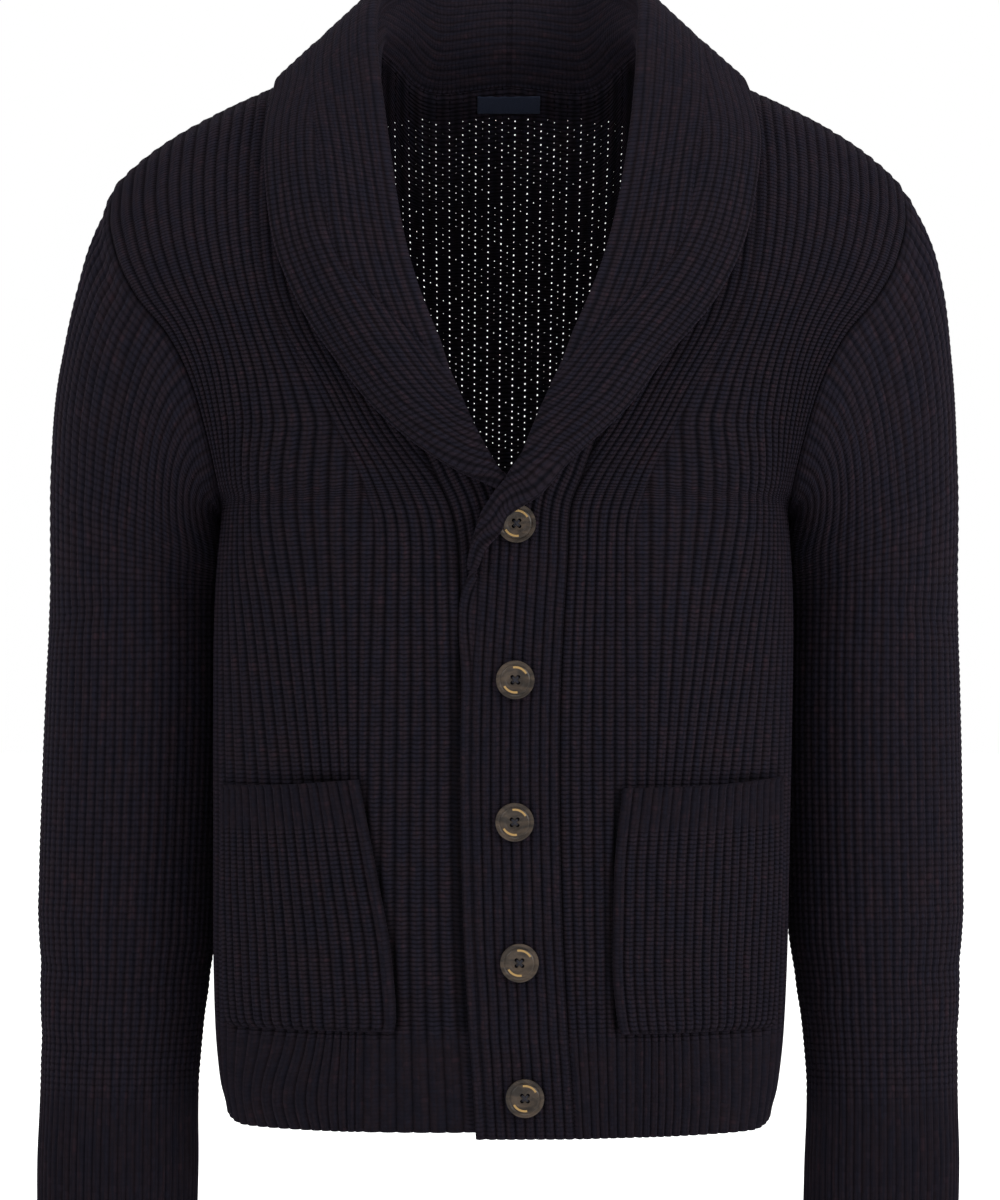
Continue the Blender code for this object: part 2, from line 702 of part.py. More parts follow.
def back(collection):
    """The back, welt to shoulders and neck."""
    last = 2 * BACK_RIBS
    near = range(BACK_RIBS - BACK_NECK_LINES, BACK_RIBS + BACK_NECK_LINES + 1, 2)
    corners = (near[0] + 1, near[-1] - 1)
    inside = sorted({*range(0, last + 1, 4), *near, *corners})
    points, ids = [], []
    for row in BACK_ROWS:
        line = []
        for k in range(last + 1):
            line.append(len(points))
            points.append(back_point(k, row, rib_height(row) * (k % 2)))
        ids.append(line)
    inner = [[back_point(k, row, -WALL) for k in inside] for row in BACK_INSIDE_ROWS]
    return panel("back", points, ids, inner, "knit", collection)


# ---------------------------------------------------------------- sleeves
def armhole_loop():
    """Armhole corners from the underarm up the front, over and down the back."""
    rows = [r for r in FRONT_ROWS if r >= UNDERARM]
    loop = [armhole_edge(r, -1) for r in rows]
    rows = [r for r in BACK_ROWS if UNDERARM < r < RIDGE]
    loop += [armhole_edge(r, 1) for r in reversed(rows)]
    return loop


def sleeve_rail(point, into, angle):
    """A line down the sleeve from a point of the armhole: points with depth axes."""
    first = SLEEVE[0]
    z0 = first[0]
    target = ring_point(z0, angle)
    reach = np.linalg.norm(target - point)
    leave = unit(into * (1, 0, 1) + np.array([0, 0, -SLEEVE_DROOP])) * reach * SLEEVE_START
    hang = np.array([0, 0, -1.0]) * reach * SLEEVE_HANG
    line = []
    for t in SLEEVE_STEPS:
        line.append((1 + 2 * t) * (1 - t) ** 2 * point + t * (1 - t) ** 2 * leave
                    + t * t * (3 - 2 * t) * target - t * t * (1 - t) * hang)
    for row in SLEEVE:
        line.append(ring_point(row[0], angle))
    return line


def ring_point(z, angle):
    """A point of the hanging sleeve at a height."""
    cx, cy, hx, hy = (read(SLEEVE[::-1], SLEEVE_COLUMNS, "z", z, n)
                      for n in ("centre_x", "centre_y", "half_x", "half_y"))
    return np.array([cx + hx * math.cos(angle), cy + hy * math.sin(angle), z])


def sleeve(side, name, collection):
    """One sleeve, armhole to cuff, one rib for each armhole corner."""
    loop = armhole_loop()
    count = len(loop)
    half = GAP / 2
    starts, rims, intos = [], [], []
    for i in range(count):
        p0, d0, s0 = loop[i]
        p1, d1, s1 = loop[(i + 1) % count]
        for t in (0.0, 0.5):
            into = s0 * (1 - t) + s1 * t
            starts.append((p0 + s0 * half) * (1 - t) + (p1 + s1 * half) * t)
            rims.append(d0 * (1 - t) + d1 * t)
            intos.append(unit(into))
    steps = [np.linalg.norm(starts[(i + 1) % len(starts)] - starts[i]) for i in range(len(starts))]
    top = 2 * (len([r for r in FRONT_ROWS if r >= UNDERARM]) - 1)
    run = np.concatenate([[0], np.cumsum(steps)])
    rails = []
    for i in range(len(starts)):
        if i <= top:
            angle = -math.pi + math.pi * run[i] / run[top]
        else:
            angle = math.pi * (run[i] - run[top]) / (run[-1] - run[top])
        rails.append(sleeve_rail(starts[i], intos[i], angle))
    rails = np.array(rails)
    columns, levels = rails.shape[0], rails.shape[1]
    normals = np.zeros_like(rails)
    for j in range(levels):
        for i in range(columns):
            across = rails[(i + 1) % columns, j] - rails[i - 1, j]
            down = rails[i, min(j + 1, levels - 1)] - rails[i, max(j - 1, 0)]
            normals[i, j] = unit(np.cross(across, -down))
    hanging = len(SLEEVE_STEPS)
    centre = rails[:, hanging].mean(axis=0)
    if np.dot(normals[0, hanging], rails[0, hanging] - centre) < 0:
        normals = -normals
    points = []
    for j in range(levels):
        for i in range(columns):
            height = RIB * (i % 2) * (0 if j == 0 else 1)
            points.append(rails[i, j] + normals[i, j] * height)
    outer = len(points)
    for j in range(levels):
        for i in range(0, columns, 2):
            if j == 0:
                points.append(rails[i, j] - rims[i] * WALL)
            else:
                points.append(rails[i, j] - normals[i, j] * WALL)
    inner_columns = columns // 2
    faces = []
    for j in range(levels - 1):
        for i in range(columns):
            k = (i + 1) % columns
            a, b = j * columns + i, j * columns + k
            c, d = a + columns, b + columns
            faces += [(a, b, d), (a, d, c)]
        for i in range(inner_columns):
            k = (i + 1) % inner_columns
            a, b = outer + j * inner_columns + i, outer + j * inner_columns + k
            c, d = a + inner_columns, b + inner_columns
            faces += [(a, d, b), (a, c, d)]
    for j in (0, levels - 1):
        for i in range(inner_columns):
            k = (i + 1) % inner_columns
            a, b, c = j * columns + 2 * i, j * columns + 2 * i + 1, j * columns + (2 * k) % columns
            d, e = outer + j * inner_columns + i, outer + j * inner_columns + k
            faces += [(a, b, d), (b, e, d), (b, c, e)]
    points = [p * (side, 1, 1) for p in points]
    return new_object(name, points, faces, "knit", collection)


# ---------------------------------------------------------------- collar
def collar_line(section):
    """Line across band or collar, seam to free edge, evenly divided beside the fold."""
    seam, fold, edge, rim, into, folded, stand, _ = section
    columns = 2 * COLLAR_RIBS + 1
    if folded == 0:
        return along([seam, edge], columns)
    if folded < 1:
        fine = spline([seam, (seam + fold) / 2, fold, edge])
        split = 2 * SPLINE_STEPS
    else:
        up = unit(fold - (seam + edge) / 2)
        out = edge - seam
        out = unit(out - up * np.dot(out, up))
        out = unit(out * 0.5 + unit(rim - up * np.dot(rim, up)))
        fall = np.linalg.norm(edge - fold)
        reach = min(FOLD_REACH, fall * 0.4)
        half = min(FOLD_HALF, fall * 0.3)
        inside = fold - up * reach - out * half
        outside = fold - up * reach + out * half
        rise = inside - seam
        lower = seam + unit(into + unit(rise)) * np.linalg.norm(rise) * 0.45
        bulge = (edge + outside) / 2 + out * FALL_BULGE * min(fall / FALL_FULL, 1)
        fine = spline([seam, lower, inside, fold, outside, bulge, edge])
        split = 3 * SPLINE_STEPS
    return np.vstack([along(fine[:split + 1], stand + 1)[:-1], along(fine[split:], columns - stand)])


Section = namedtuple("Section", "seam fold edge rim into folded stand outward")


def front_neck(row, side):
    """Point, rim direction and way into the collar on a front's drawn neck seam."""
    if row in FRONT_ROWS:
        point, rim, into = neck_edge(neck_seam(row, side), row, -1, side, stand_share(row))
        return point, unit(rim * (1, 0, 1)) if row == RIDGE else rim, into
    low = max(r for r in FRONT_ROWS if r < row)
    high = min(r for r in FRONT_ROWS if r > row)
    share = (row - low) / (high - low)
    pairs = zip(front_neck(low, side), front_neck(high, side))
    return tuple(a * (1 - share) + b * share for a, b in pairs)


def collar_stations(side):
    """Sections of one collar half, hem to shoulder."""
    table = COLLAR_LEFT if side > 0 else COLLAR_RIGHT
    first = table[0][0]
    sections = []
    for row in LEFT_ROWS if side > 0 else RIGHT_ROWS:
        point, rim, into = front_neck(row, side)
        seam = point + into * GAP / 2
        if row <= first:
            across = neck_seam(row, side) - 2 * BAND_HALF
            z = torso(0, row, -1)[2] + BAND_RISE * max(min((row - 5) / 1.4, 1), 0)
            edge = on_torso(across, z, -1, side * LAYER)
            sections.append(Section(seam, edge, edge, rim, into, 0.0, 2 * COLLAR_RIBS, True))
            continue
        value = {n: read(table, COLLAR_COLUMNS, "row", row, n) for n in COLLAR_COLUMNS}
        fold = np.array([value["fold_x"], value["fold_y"], value["fold_z"]])
        lift = COLLAR_LIFT + (LAYER if side > 0 else 0) * max(UNDERARM + 2 - row, 0) / 2
        edge = on_torso(value["edge_x"], value["edge_z"], -1, lift)
        folded = value["folded"]
        if folded == 0:
            fold = edge = fold
        elif folded < 1:
            edge = np.array([value["edge_x"], value["fold_y"] - OPEN_LIP, value["edge_z"]])
        stand = int(round(value["stand"]))
        outward = row < PLAIN_STAND_ROW
        sections.append(Section(seam, fold, edge, rim, into, folded, stand, outward))
    return sections


def on_torso(x, z, face, lift):
    """A point above the torso's cloth at a place across and a height."""
    level, far = row_at(abs(x), z, face)
    flip = (-1 if x < 0 else 1, 1, 1)
    return torso(far, level, face) * flip + torso_normal(far, level, face) * flip * lift


def collar_back_stations():
    """Sections behind the shoulder seam, ending at the centre back seam."""
    sections = []
    for line in COLLAR_BACK_LINES:
        point, rim, into = neck_line(line)
        s = neck_stop(line)[0]
        value = {n: read(COLLAR_BACK, COLLAR_BACK_COLUMNS, "seam", s, n)
                 for n in COLLAR_BACK_COLUMNS}
        fold = np.array([value["fold_x"], value["fold_y"], value["fold_z"]])
        edge = on_torso(value["edge_x"], value["edge_z"], 1, COLLAR_LIFT)
        seam = point + into * GAP / 2
        stand = int(round(value["stand"]))
        sections.append(Section(seam, fold, edge, rim, into, 1.0, stand, False))
    return sections


def collar(side, name, collection):
    """One half of band and collar, hem to centre back."""
    stations = collar_stations(side) + collar_back_stations()
    lines = np.array([collar_line(section) for section in stations])
    count, columns = lines.shape[0], lines.shape[1]
    normals = np.zeros_like(lines)
    for j in range(count):
        for k in range(columns):
            across = lines[j, min(k + 1, columns - 1)] - lines[j, max(k - 1, 0)]
            run = lines[min(j + 1, count - 1), k] - lines[max(j - 1, 0), k]
            normals[j, k] = unit(np.cross(run, across))
    if normals[0, 3][1] > 0:
        normals = -normals
    for k in range(columns):
        lines[-1, k, 0] = GAP / 2
        normals[-1, k] = unit(normals[-1, k] * (0, 1, 1))
    points, ids = [], []
    inner = []
    for j, section in enumerate(stations):
        rib = 0 if j == count - 1 else RIB
        line, under = [], []
        for k in reversed(range(columns)):
            outward = section.outward and k < section.stand
            above, below = (rib, 0) if outward else (0, rib)
            line.append(len(points))
            points.append(lines[j, k] + normals[j, k] * above * (k % 2))
            direction = section.rim if k == 0 else normals[j, k]
            under.append(lines[j, k] - direction * (WALL + below * (k % 2)))
        ids.append(line)
        inner.append(under)
    if side < 0:
        points = [p * (-1, 1, 1) for p in points]
        inner = [[p * (-1, 1, 1) for p in line] for line in inner]
    crossed = [j for j in range(count - 1) if stations[j + 1].stand > stations[j].stand]
    return panel(name, points, ids, inner, "knit", collection, crossed)


# ---------------------------------------------------------------- pockets
def pocket(side, name, collection):
    """A patch pocket over a front, made from the front's own surface."""
    near_name, far_name = ("left_near", "left_far") if side > 0 else ("right_near", "right_far")
    columns = 2 * POCKET_RIBS
    points, ids, inner = [], [], []
    for z in column(POCKET, POCKET_COLUMNS, "z"):
        near = read(POCKET, POCKET_COLUMNS, "z", z, near_name)
        far = read(POCKET, POCKET_COLUMNS, "z", z, far_name)
        row = row_at(0.0, z, -1)[0]
        line = []
        for k in range(columns + 1):
            s = near + (far - near) * k / columns
            base = torso(s, row, -1)
            normal = torso_normal(s, row, -1)
            base = base + normal * (layer(s, row, side) + POCKET_LIFT)
            line.append(len(points))
            points.append(base + normal * (POCKET_WALL + RIB * (k % 2)))
        ids.append(line)
        line = []
        for k in range(0, columns + 1, 2):
            s = near + (far - near) * k / columns
            normal = torso_normal(s, row, -1)
            line.append(torso(s, row, -1) + normal * (layer(s, row, side) + POCKET_LIFT))
        inner.append(line)
    if side < 0:
        points = [p * (-1, 1, 1) for p in points]
        inner = [[p * (-1, 1, 1) for p in line] for line in inner]
    return panel(name, points, ids, inner, "knit", collection)


# ---------------------------------------------------------------- trims
def button(number, z, across, bulge, collection):
    """A four-hole button with a raised rim, flat against the upper band."""
    middle = band_middle(z) + across
    row = row_at(abs(middle), z, -1)[0]
    seam = front_neck(row, 1)[0]
    edge = on_torso(neck_seam(row, 1) - 2 * BAND_HALF, z, -1, LAYER)
    share = (middle - edge[0]) / (seam[0] - edge[0])
    band = edge[1] + (seam[1] - edge[1]) * share
    lift = RIB + GAP + BUTTON_THICK / 2 + bulge
    place = (leaned((middle, 0, z))[0], band - lift, z)
    bpy.ops.mesh.primitive_cylinder_add(vertices=18, radius=BUTTON_RADIUS, depth=BUTTON_THICK)
    disc = bpy.context.object
    disc.name = f"button_{number}"
    work = bmesh.new()
    work.from_mesh(disc.data)
    top = [f for f in work.faces if f.normal.z > 0.9]
    bmesh.ops.inset_region(work, faces=top, thickness=BUTTON_RIM, depth=0)
    top = [f for f in work.faces if f.normal.z > 0.9 and len(f.verts) > 4]
    bmesh.ops.inset_region(work, faces=top, thickness=BUTTON_DISH[0], depth=BUTTON_DISH[1])
    work.to_mesh(disc.data)
    work.free()
    for n in range(4):
        angle = math.radians(45 + 90 * n)
        spot = (BUTTON_HOLE_OUT * math.cos(angle), BUTTON_HOLE_OUT * math.sin(angle), 0)
        bpy.ops.mesh.primitive_cylinder_add(vertices=5, radius=BUTTON_HOLE, depth=0.02, location=spot)
        cutter = bpy.context.object
        cut = disc.modifiers.new("hole", "BOOLEAN")
        cut.operation = "DIFFERENCE"
        cut.object = cutter
        bpy.context.view_layer.objects.active = disc
        bpy.ops.object.modifier_apply(modifier=cut.name)
        bpy.data.objects.remove(cutter)
    disc.location = place
    disc.rotation_euler = (math.radians(90), 0, 0)
    disc.data.materials.clear()
    disc.data.materials.append(material("button"))
    for holder in list(disc.users_collection):
        holder.objects.unlink(disc)
    collection.objects.link(disc)
    return disc


def label(collection):
    """A plain woven label inside the back neck, just below the seam."""
    columns, rows = 9, 2
    outer, inner = [], []
    for r in range(rows):
        line_out, line_in = [], []
        for c in range(columns):
            x = LABEL_SIZE[0] * (c / (columns - 1) - 0.5)
            drop = -LABEL_DROP - LABEL_SIZE[1] * (1 - r / (rows - 1))
            level, far = row_at(abs(x), drop, 1)
            sign = 1 if x >= 0 else -1
            normal = torso_normal(far, level, 1) * (sign, 1, 1)
            base = torso(far, level, 1) * (sign, 1, 1)
            line_out.append(base - normal * LABEL_LIFT)
            line_in.append(base - normal * (LABEL_LIFT + LABEL_THICK))
        outer.append(line_out)
        inner.append(line_in)
    points = [p for line in outer for p in line]
    ids = [[r * columns + c for c in range(columns)] for r in range(rows)]
    return panel("neck_label", points, ids, inner, "label", collection)


def main():
    """Clear the scene and model every piece."""
    for obj in list(bpy.data.objects):
        bpy.data.objects.remove(obj)
    collection = bpy.data.collections.new("shawl_collar_cardigan")
    bpy.context.scene.collection.children.link(collection)
    front(1, "front_left", collection)
    front(-1, "front_right", collection)
    back(collection)
    sleeve(1, "sleeve_left", collection)
    sleeve(-1, "sleeve_right", collection)
    collar(1, "collar_left", collection)
    collar(-1, "collar_right", collection)
    pocket(1, "pocket_left", collection)
    pocket(-1, "pocket_right", collection)
    for number, row in enumerate(BUTTONS, 1):
        button(number, collection=collection, **dict(zip(BUTTON_COLUMNS, row)))
    label(collection)


main()
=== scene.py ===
"""Looks of the shawl collar cardigan: rib-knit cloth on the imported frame.

Each knitted piece is made finer over its CAD solid: real ribs, stitches and soft
folds, all from the same named sizes. The frame's own axes: +Z up, front towards -Y,
wearer's left at +X. Sizes are in metres, and in millimetres inside the tables.
A side is 1 for the wearer's left and -1 for the right, a face -1 for the front and
1 for the back, and a row is a level of the torso's table, counted from the hem.
"""

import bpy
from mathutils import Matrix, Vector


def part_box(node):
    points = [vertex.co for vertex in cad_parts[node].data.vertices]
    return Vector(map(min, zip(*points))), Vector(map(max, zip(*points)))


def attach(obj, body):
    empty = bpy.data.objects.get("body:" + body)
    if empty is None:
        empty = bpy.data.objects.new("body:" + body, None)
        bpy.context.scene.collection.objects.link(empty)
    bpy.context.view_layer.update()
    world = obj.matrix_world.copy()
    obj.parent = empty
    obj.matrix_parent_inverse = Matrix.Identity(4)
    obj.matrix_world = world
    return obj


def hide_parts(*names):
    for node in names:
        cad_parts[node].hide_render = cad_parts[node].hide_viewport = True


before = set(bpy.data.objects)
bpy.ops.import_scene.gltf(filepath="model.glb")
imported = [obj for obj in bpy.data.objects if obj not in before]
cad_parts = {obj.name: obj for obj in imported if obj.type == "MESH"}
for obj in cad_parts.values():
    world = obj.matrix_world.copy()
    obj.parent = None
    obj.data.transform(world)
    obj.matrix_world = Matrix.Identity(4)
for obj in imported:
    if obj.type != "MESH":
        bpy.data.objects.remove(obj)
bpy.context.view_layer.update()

import math
from collections import namedtuple
from functools import partialmethod

import bmesh
import bpy
import numpy as np
from mathutils import Matrix, Vector


# ---------------- sizes
def table(names, rows, plain=""):
    """Columns by name, from millimetres to metres but for the plain ones."""
    columns = zip(names.split(), np.array(rows, float).T)
    return {name: line if name in plain.split() else line / 1000 for name, line in columns}


SIDE_NAMES = {1: "left", -1: "right"}
WALL = 0.0022  # plain knit, from rib valley to inner face
RIB = 0.0014  # height of a CAD rib, which pocket and buttons stand clear of
GAP = 0.0003  # clearance between two sewn pieces
SEWN = -0.0002  # sewn edges overlap by a hair
LEAN = 0.010  # sideways hang of the garment, per metre of height
LEAN_HEIGHT = -0.20  # height where the lean is nil
HEM_DROP = {1: 0.0045, -1: 0.0010}  # how much lower each side's hem hangs
HEM_DROP_DEPTHS = (0.56, 0.68)
HEM_MIDDLE = (-0.03, 0.01)  # where the back's hem passes from one drop to the other
CORNER = 0.007  # how much the hem rises at the side seams
CORNER_FROM, CORNER_WIDE, CORNER_DEPTHS = 0.162, 0.018, (0.655, 0.683)
ROUNDNESS = 2.3  # exponent of the torso's horizontal sections
FALL_AWAY = ((0.86, 1.45), (0.14, 10))  # how a level falls to its edge: shares and exponents
SPLINE_STEPS = 8  # points drawn between two given points of a round curve
UNDERARM = 7  # torso row of the underarm
RIDGE = 16  # torso row of the shoulder seam
LEVELS = 24  # drawn levels of the torso between two rows of its table
SHARES = 241  # drawn points of each level

# One row for each level of the torso, hem to shoulder seam.
TORSO = table("centre_z edge_x edge_z front back front_share back_share", (
    (-683, 178, -683, 117, 101, 0, 0), (-655, 183, -655, 121, 104, 0, 0),
    (-620, 186.5, -620, 125, 107, 0, 0), (-560, 188.5, -560, 127, 108, 0, 0),
    (-480, 189, -480, 127, 106, 0, 0), (-400, 189.5, -400, 127, 107, 0, 0),
    (-330, 188, -330, 128, 110, 0, 0), (-285, 186, -285, 128, 112, 0, 0),
    (-262, 188, -268, 128, 114, 0.37, 0.4), (-236, 193, -240, 127, 117, 0.55, 0.6),
    (-195, 204.5, -200, 123, 119, 0.63, 0.68), (-155, 220.6, -169, 115, 117, 0.61, 0.69),
    (-110, 241.6, -144, 102, 109, 0.56, 0.65), (-65, 255.5, -118, 83, 93, 0.48, 0.56),
    (-10, 262, -92, 55, 66, 0.38, 0.4), (30, 261.5, -78, 30, 36, 0.33, 0.33),
    (42, 259.6, -69, 0, 0, 0.3, 0.3),
), "front_share back_share")

# Button band: the middle of the closed bands and where each front meets its own.
BAND = table("z middle", (
    (-683, 17), (-660, 15.5), (-611, 11.5), (-562, 8), (-513, 6.3), (-452, 4.5), (-406, 4.5),
    (-342, 7.3), (-297, 10),
))
BAND_HALF = 0.0315
TUCK = 0.003  # the lower band's seam, hidden this far under the upper band
UNCOVERED = 0.0080  # how far it comes out again towards the V
UNCOVERED_ROWS = (4.8, 6.1)
BAND_SHADE = 0.0026  # half width of the dent beside the upper band, which also gets a painted shadow
BAND_SHADE_ROWS = (5.6, 6.3)
LAYER = 0.0026  # half the step between the upper and the lower band
LAYER_FADE = 0.075  # distance over which that step dies out

# Neckline seam and the inner ends of the vertical ribs, from the centre front,
# measured along the cloth, one row for each torso row from the underarm up.
NECK = table("row left right rib_end", (
    (7, 40, 34.5, 88), (8, 49, 44, 93), (9, 58, 56.5, 106), (10, 73.5, 73.5, 127),
    (11, 84, 84, 148), (12, 88.5, 88.5, 160), (14, 90.5, 90.5, 166), (16, 90, 90, 166),
), "row")
BAND_RIBS = 7  # ribs that follow the band on each front
NECK_RIBS = 11  # ribs that follow the neckline, some of them starting under the collar
NECK_RIB_ROWS = (7.5, 11.0)
SIDE_RIBS = {1: 19, -1: 17}  # upright ribs on each front, by its side
SIDE_SPREAD = {1: 0.0, -1: 0.15}  # how much wider they get towards the side seam
DRIFT = 0.052  # how far those ribs move in on their way down from the chest
DRIFT_POWER, DRIFT_ROWS, DRIFT_FADE = 1.15, (3.2, 7.4), (8.0, 12.0)
HEM_SWING = {1: 0.002, -1: 0.013}  # how far the hem's ribs swing out
SWING_TOP, SWING_TALL = 2.2, 3.0
ENDED_RIBS = 4  # upright ribs that crowd where the neckline ribs end them
BACK_RIBS = 28  # ribs of each half of the back
SHAPED_ROWS = (2.5, 9.0)  # torso rows between which the ribs draw in under the arm
SIDE_POWER = 9  # how close to the side seam the ribs make up that width
BACK_NECK_ROW = 14.25  # torso row of the neck seam at the centre back
BACK_NECK_HALF = 0.0900
BACK_NECK_POWER = 6.0  # how flat the back neckline runs before it rises
BACK_BEND = 11.0  # torso row above which the back's rows bend to its neckline

# Collar, one row for each torso row of its seam: fold line and free edge.
COLLAR_NAMES = "fold_x fold_y fold_z edge_x edge_z"
COLLAR = {1: table("row " + COLLAR_NAMES, (
    (5.8, -24.3, -130, -330, -24.3, -330), (6.1, -21.7, -133, -320, -16.3, -322),
    (6.4, -18.7, -135, -304, -12.5, -309), (6.7, -11.7, -137, -284, -3.6, -297),
    (6.85, -5.5, -138, -274.5, -1, -288.5), (7, 1, -139, -266, 9.5, -281),
    (7.3, 6.8, -141, -257, 23.5, -271), (7.6, 12, -143, -249, 35, -257),
    (8.5, 20.5, -143, -228, 52, -241), (9.3, 28.5, -140, -209, 74.5, -220),
    (10, 42.5, -135, -179, 99.8, -187), (11, 60, -124, -138, 129.5, -153),
    (12, 70.5, -113, -104, 151, -112), (13, 78.5, -98, -62, 161, -60),
    (14, 84, -75, -10, 160, -31), (15, 86.2, -46, 30, 153.5, -12), (16, 87.5, -8, 58, 148, -4),
), "row"), -1: table("row " + COLLAR_NAMES, (
    (6.7, -33, -125, -290, -33, -290), (7, -17, -126, -276, -16, -277),
    (7.3, -6, -129, -268, -1, -274), (7.6, 4.5, -132, -260, 11, -267),
    (8, 12, -135, -249, 27, -259), (8.5, 19, -138, -236, 48, -247),
    (9.3, 30, -138, -213, 80, -221), (10, 43, -135, -184, 106, -190),
    (11, 60, -124, -143, 130, -156), (12, 70.5, -113, -107, 149, -113),
    (13, 78, -98, -64, 156, -62), (14, 85, -75, -12, 155.5, -32), (15, 90, -46, 29, 151, -14),
    (16, 87.5, -8, 58, 148, -4),
), "row")}
COLLAR_FLAT = {1: 5.8, -1: 7.0}  # torso row up to which each half isn't folded over
# The same behind the shoulder seam, by distance of the seam from the centre back.
COLLAR_BACK = table("seam " + COLLAR_NAMES, (
    (0, 0, 92, 83, 0, -20), (28, 28, 89, 82, 45, -21), (55, 53, 74, 78, 88, -22),
    (78, 75, 40, 71, 128, -18), (90, 87.5, -8, 58, 148, -4),
))
BACK_STATIONS = (0.0836, 0.0772, 0.0643, 0.0515, 0.0386, 0.0257, 0.0129, 0.0)
HIGH_ROWS = (8.26, 8.8, 9.35, 10, 10.5, *range(11, 17))
SEAM_ROWS = {1: (*range(6), 5.8, 6.1, 6.4, 6.7, 6.85, 7, 7.3, 7.6, *HIGH_ROWS),
             -1: (*range(6), 6, 6.7, 7, 7.3, 7.6, 8, *HIGH_ROWS)}
BAND_RISE, BAND_RISE_ROWS = 0.020, (5.0, 6.4)  # flat band's free edge above its seam
COLLAR_LIFT = 0.0065  # collar's free edge above the cloth it lies on
FOLD_HALF = 0.0050  # half the distance between stand and fall at the fold
FOLD_REACH = 0.0100  # how far below the fold the two part
FOLD_SHARES = (0.4, 0.3)  # the most that reach and half distance take of a narrow fall
STAND_BOW = 0.45  # how far the stand follows its seam's direction
FALL_CALM = 0.9  # how much of the fall's bulge is lost towards the shoulder
FALL_BULGE = 0.0090  # how far a full fall stands off its straight line
FALL_FULL = 0.0600
FLAT_FALL = (13.0, 15.5)  # torso rows over which the fall loses that bulge towards the shoulder
COLLAR_PITCH = 0.0063  # distance between ribs of band and collar
COLLAR_STEP = 0.004
EDGE_RIBS = 1  # rib along the band's free edge
TURN_SHARE = 0.09  # share of the flat band that turns over above it
ROLL_STAND = 0.015  # width of the ribs that follow the roll, on the stand and the fall
ROLL_FALL, ROLL_SPARED = 0.045, 0.02
MITRE_ROWS = (9.4, 12.0)  # torso rows over which those ribs widen from nothing
INSIDE_ROWS = (5.6, 6.4)  # torso rows over which the band's inner face gets its ribs
STAND_CALM_ROWS = (12.5, 14.5)  # rows over which the stand's inner face calms down
BAND_CALM, BAND_CALM_ROWS = 0.35, (5.8, 7.0)
SMOOTH_ROWS = (11.5, 13.0)
STAND_POINTS, FALL_POINTS = 17, 17
SEAM_PULL, SMOOTH_POINTS = 5, 7  # points over which it's pulled to its seam and smoothed
EDGE_ROUND = 0.002  # distance over which ribs of the inner face end at the free edge
STAND_PLAIN, STAND_FLAT = 0.7, 0.5  # how plain and how flat the stand's inner face gets
ROLL_COUNT, REST_COUNT = 100, 200  # first rib numbers of the roll and the free edge
COLLAR_ROUNDS = 24  # rounds of smoothing along the collar round the neck
BEND_ROUNDS = 120  # rounds of smoothing of the ribs' bend at the V

# Sleeve rings below the armhole, cuff to top.
SLEEVE = table("z centre_x centre_y half_x half_y", (
    (-748, 251.2, 0, 51.2, 38), (-712, 251.2, 4, 51.5, 39), (-674, 251, 11, 50.5, 42),
    (-605, 249.2, 25, 52.7, 48), (-540, 247.5, 36, 56, 52), (-470, 245.5, 40, 56.5, 57),
    (-400, 244, 38, 56, 62), (-340, 243.8, 36, 54.8, 66),
))
SLEEVE_START = 0.80  # pull of the rails as they leave the armhole
SLEEVE_HANG = 1.10  # pull of the rails as they start to hang
SLEEVE_DROOP = 0.35
SLEEVE_STEPS = (0.0, 0.14, 0.3, 0.48, 0.7)
ARMHOLE_CENTRE = np.array([0.222, 0.0, -0.180])
ARMHOLE_EDGES = 19  # points of the armhole on each face
ARMHOLE_STEP, NECK_STEP, BACK_STEP = 0.1, 0.05, 0.003  # reach for the run of each seam
NECK_OVAL = 0.9  # how round the neck is that the collar stands away from

# Patch pockets, by distance from the centre front along the cloth.
POCKET = table("z left_near right_near left_far right_far", (
    (-618, 78, 68, 198, 196), (-612, 75.5, 66.5, 203, 201), (-570, 71.5, 70, 207, 206),
    (-520, 72, 80, 209, 208), (-466, 77, 92, 208, 208),
))
POCKET_RIBS = {1: 20, -1: 17}
POCKET_LIFT = RIB + GAP + 0.0004
POCKET_WALL = 0.0020
POCKET_BAND = 0.029  # plain ribbing at a pocket's top
POCKET_ROLL = 0.0013  # how much its rolled inner edge and bound top stand out
POCKET_BOUND = 0.0028  # width of the bound top
POCKET_SEWN = (0.2, 0.15)  # what is left of its ribs at the far edge and the foot
# Painted shade along a pocket's foot: how dark it is and its half width; then where the rolled edge
# starts.
POCKET_FOOT, POCKET_FOOT_HALF, POCKET_ROLL_START = 0.75, 0.0015, 0.008
POCKET_ROLL_PLAIN = 0.6  # how plain the rolled edge is
POCKET_RISE = {1: (0.0035, 0.0096), -1: (0.0090, 0.0038)}  # top at near and far edge
POCKET_SAG = 0.0015
POCKET_SINK = 0.0009  # depth and half width of the dent in the cloth round it
POCKET_SINK_HALF = 0.0022
POCKET_SOFT, POCKET_AROUND = 0.004, 0.003  # how soft the dent's ends are, how far out it goes
POCKET_TOP_DENT, POCKET_FOOT_DENT = (0.0012, 0.0016), (-0.0010, 0.0014)

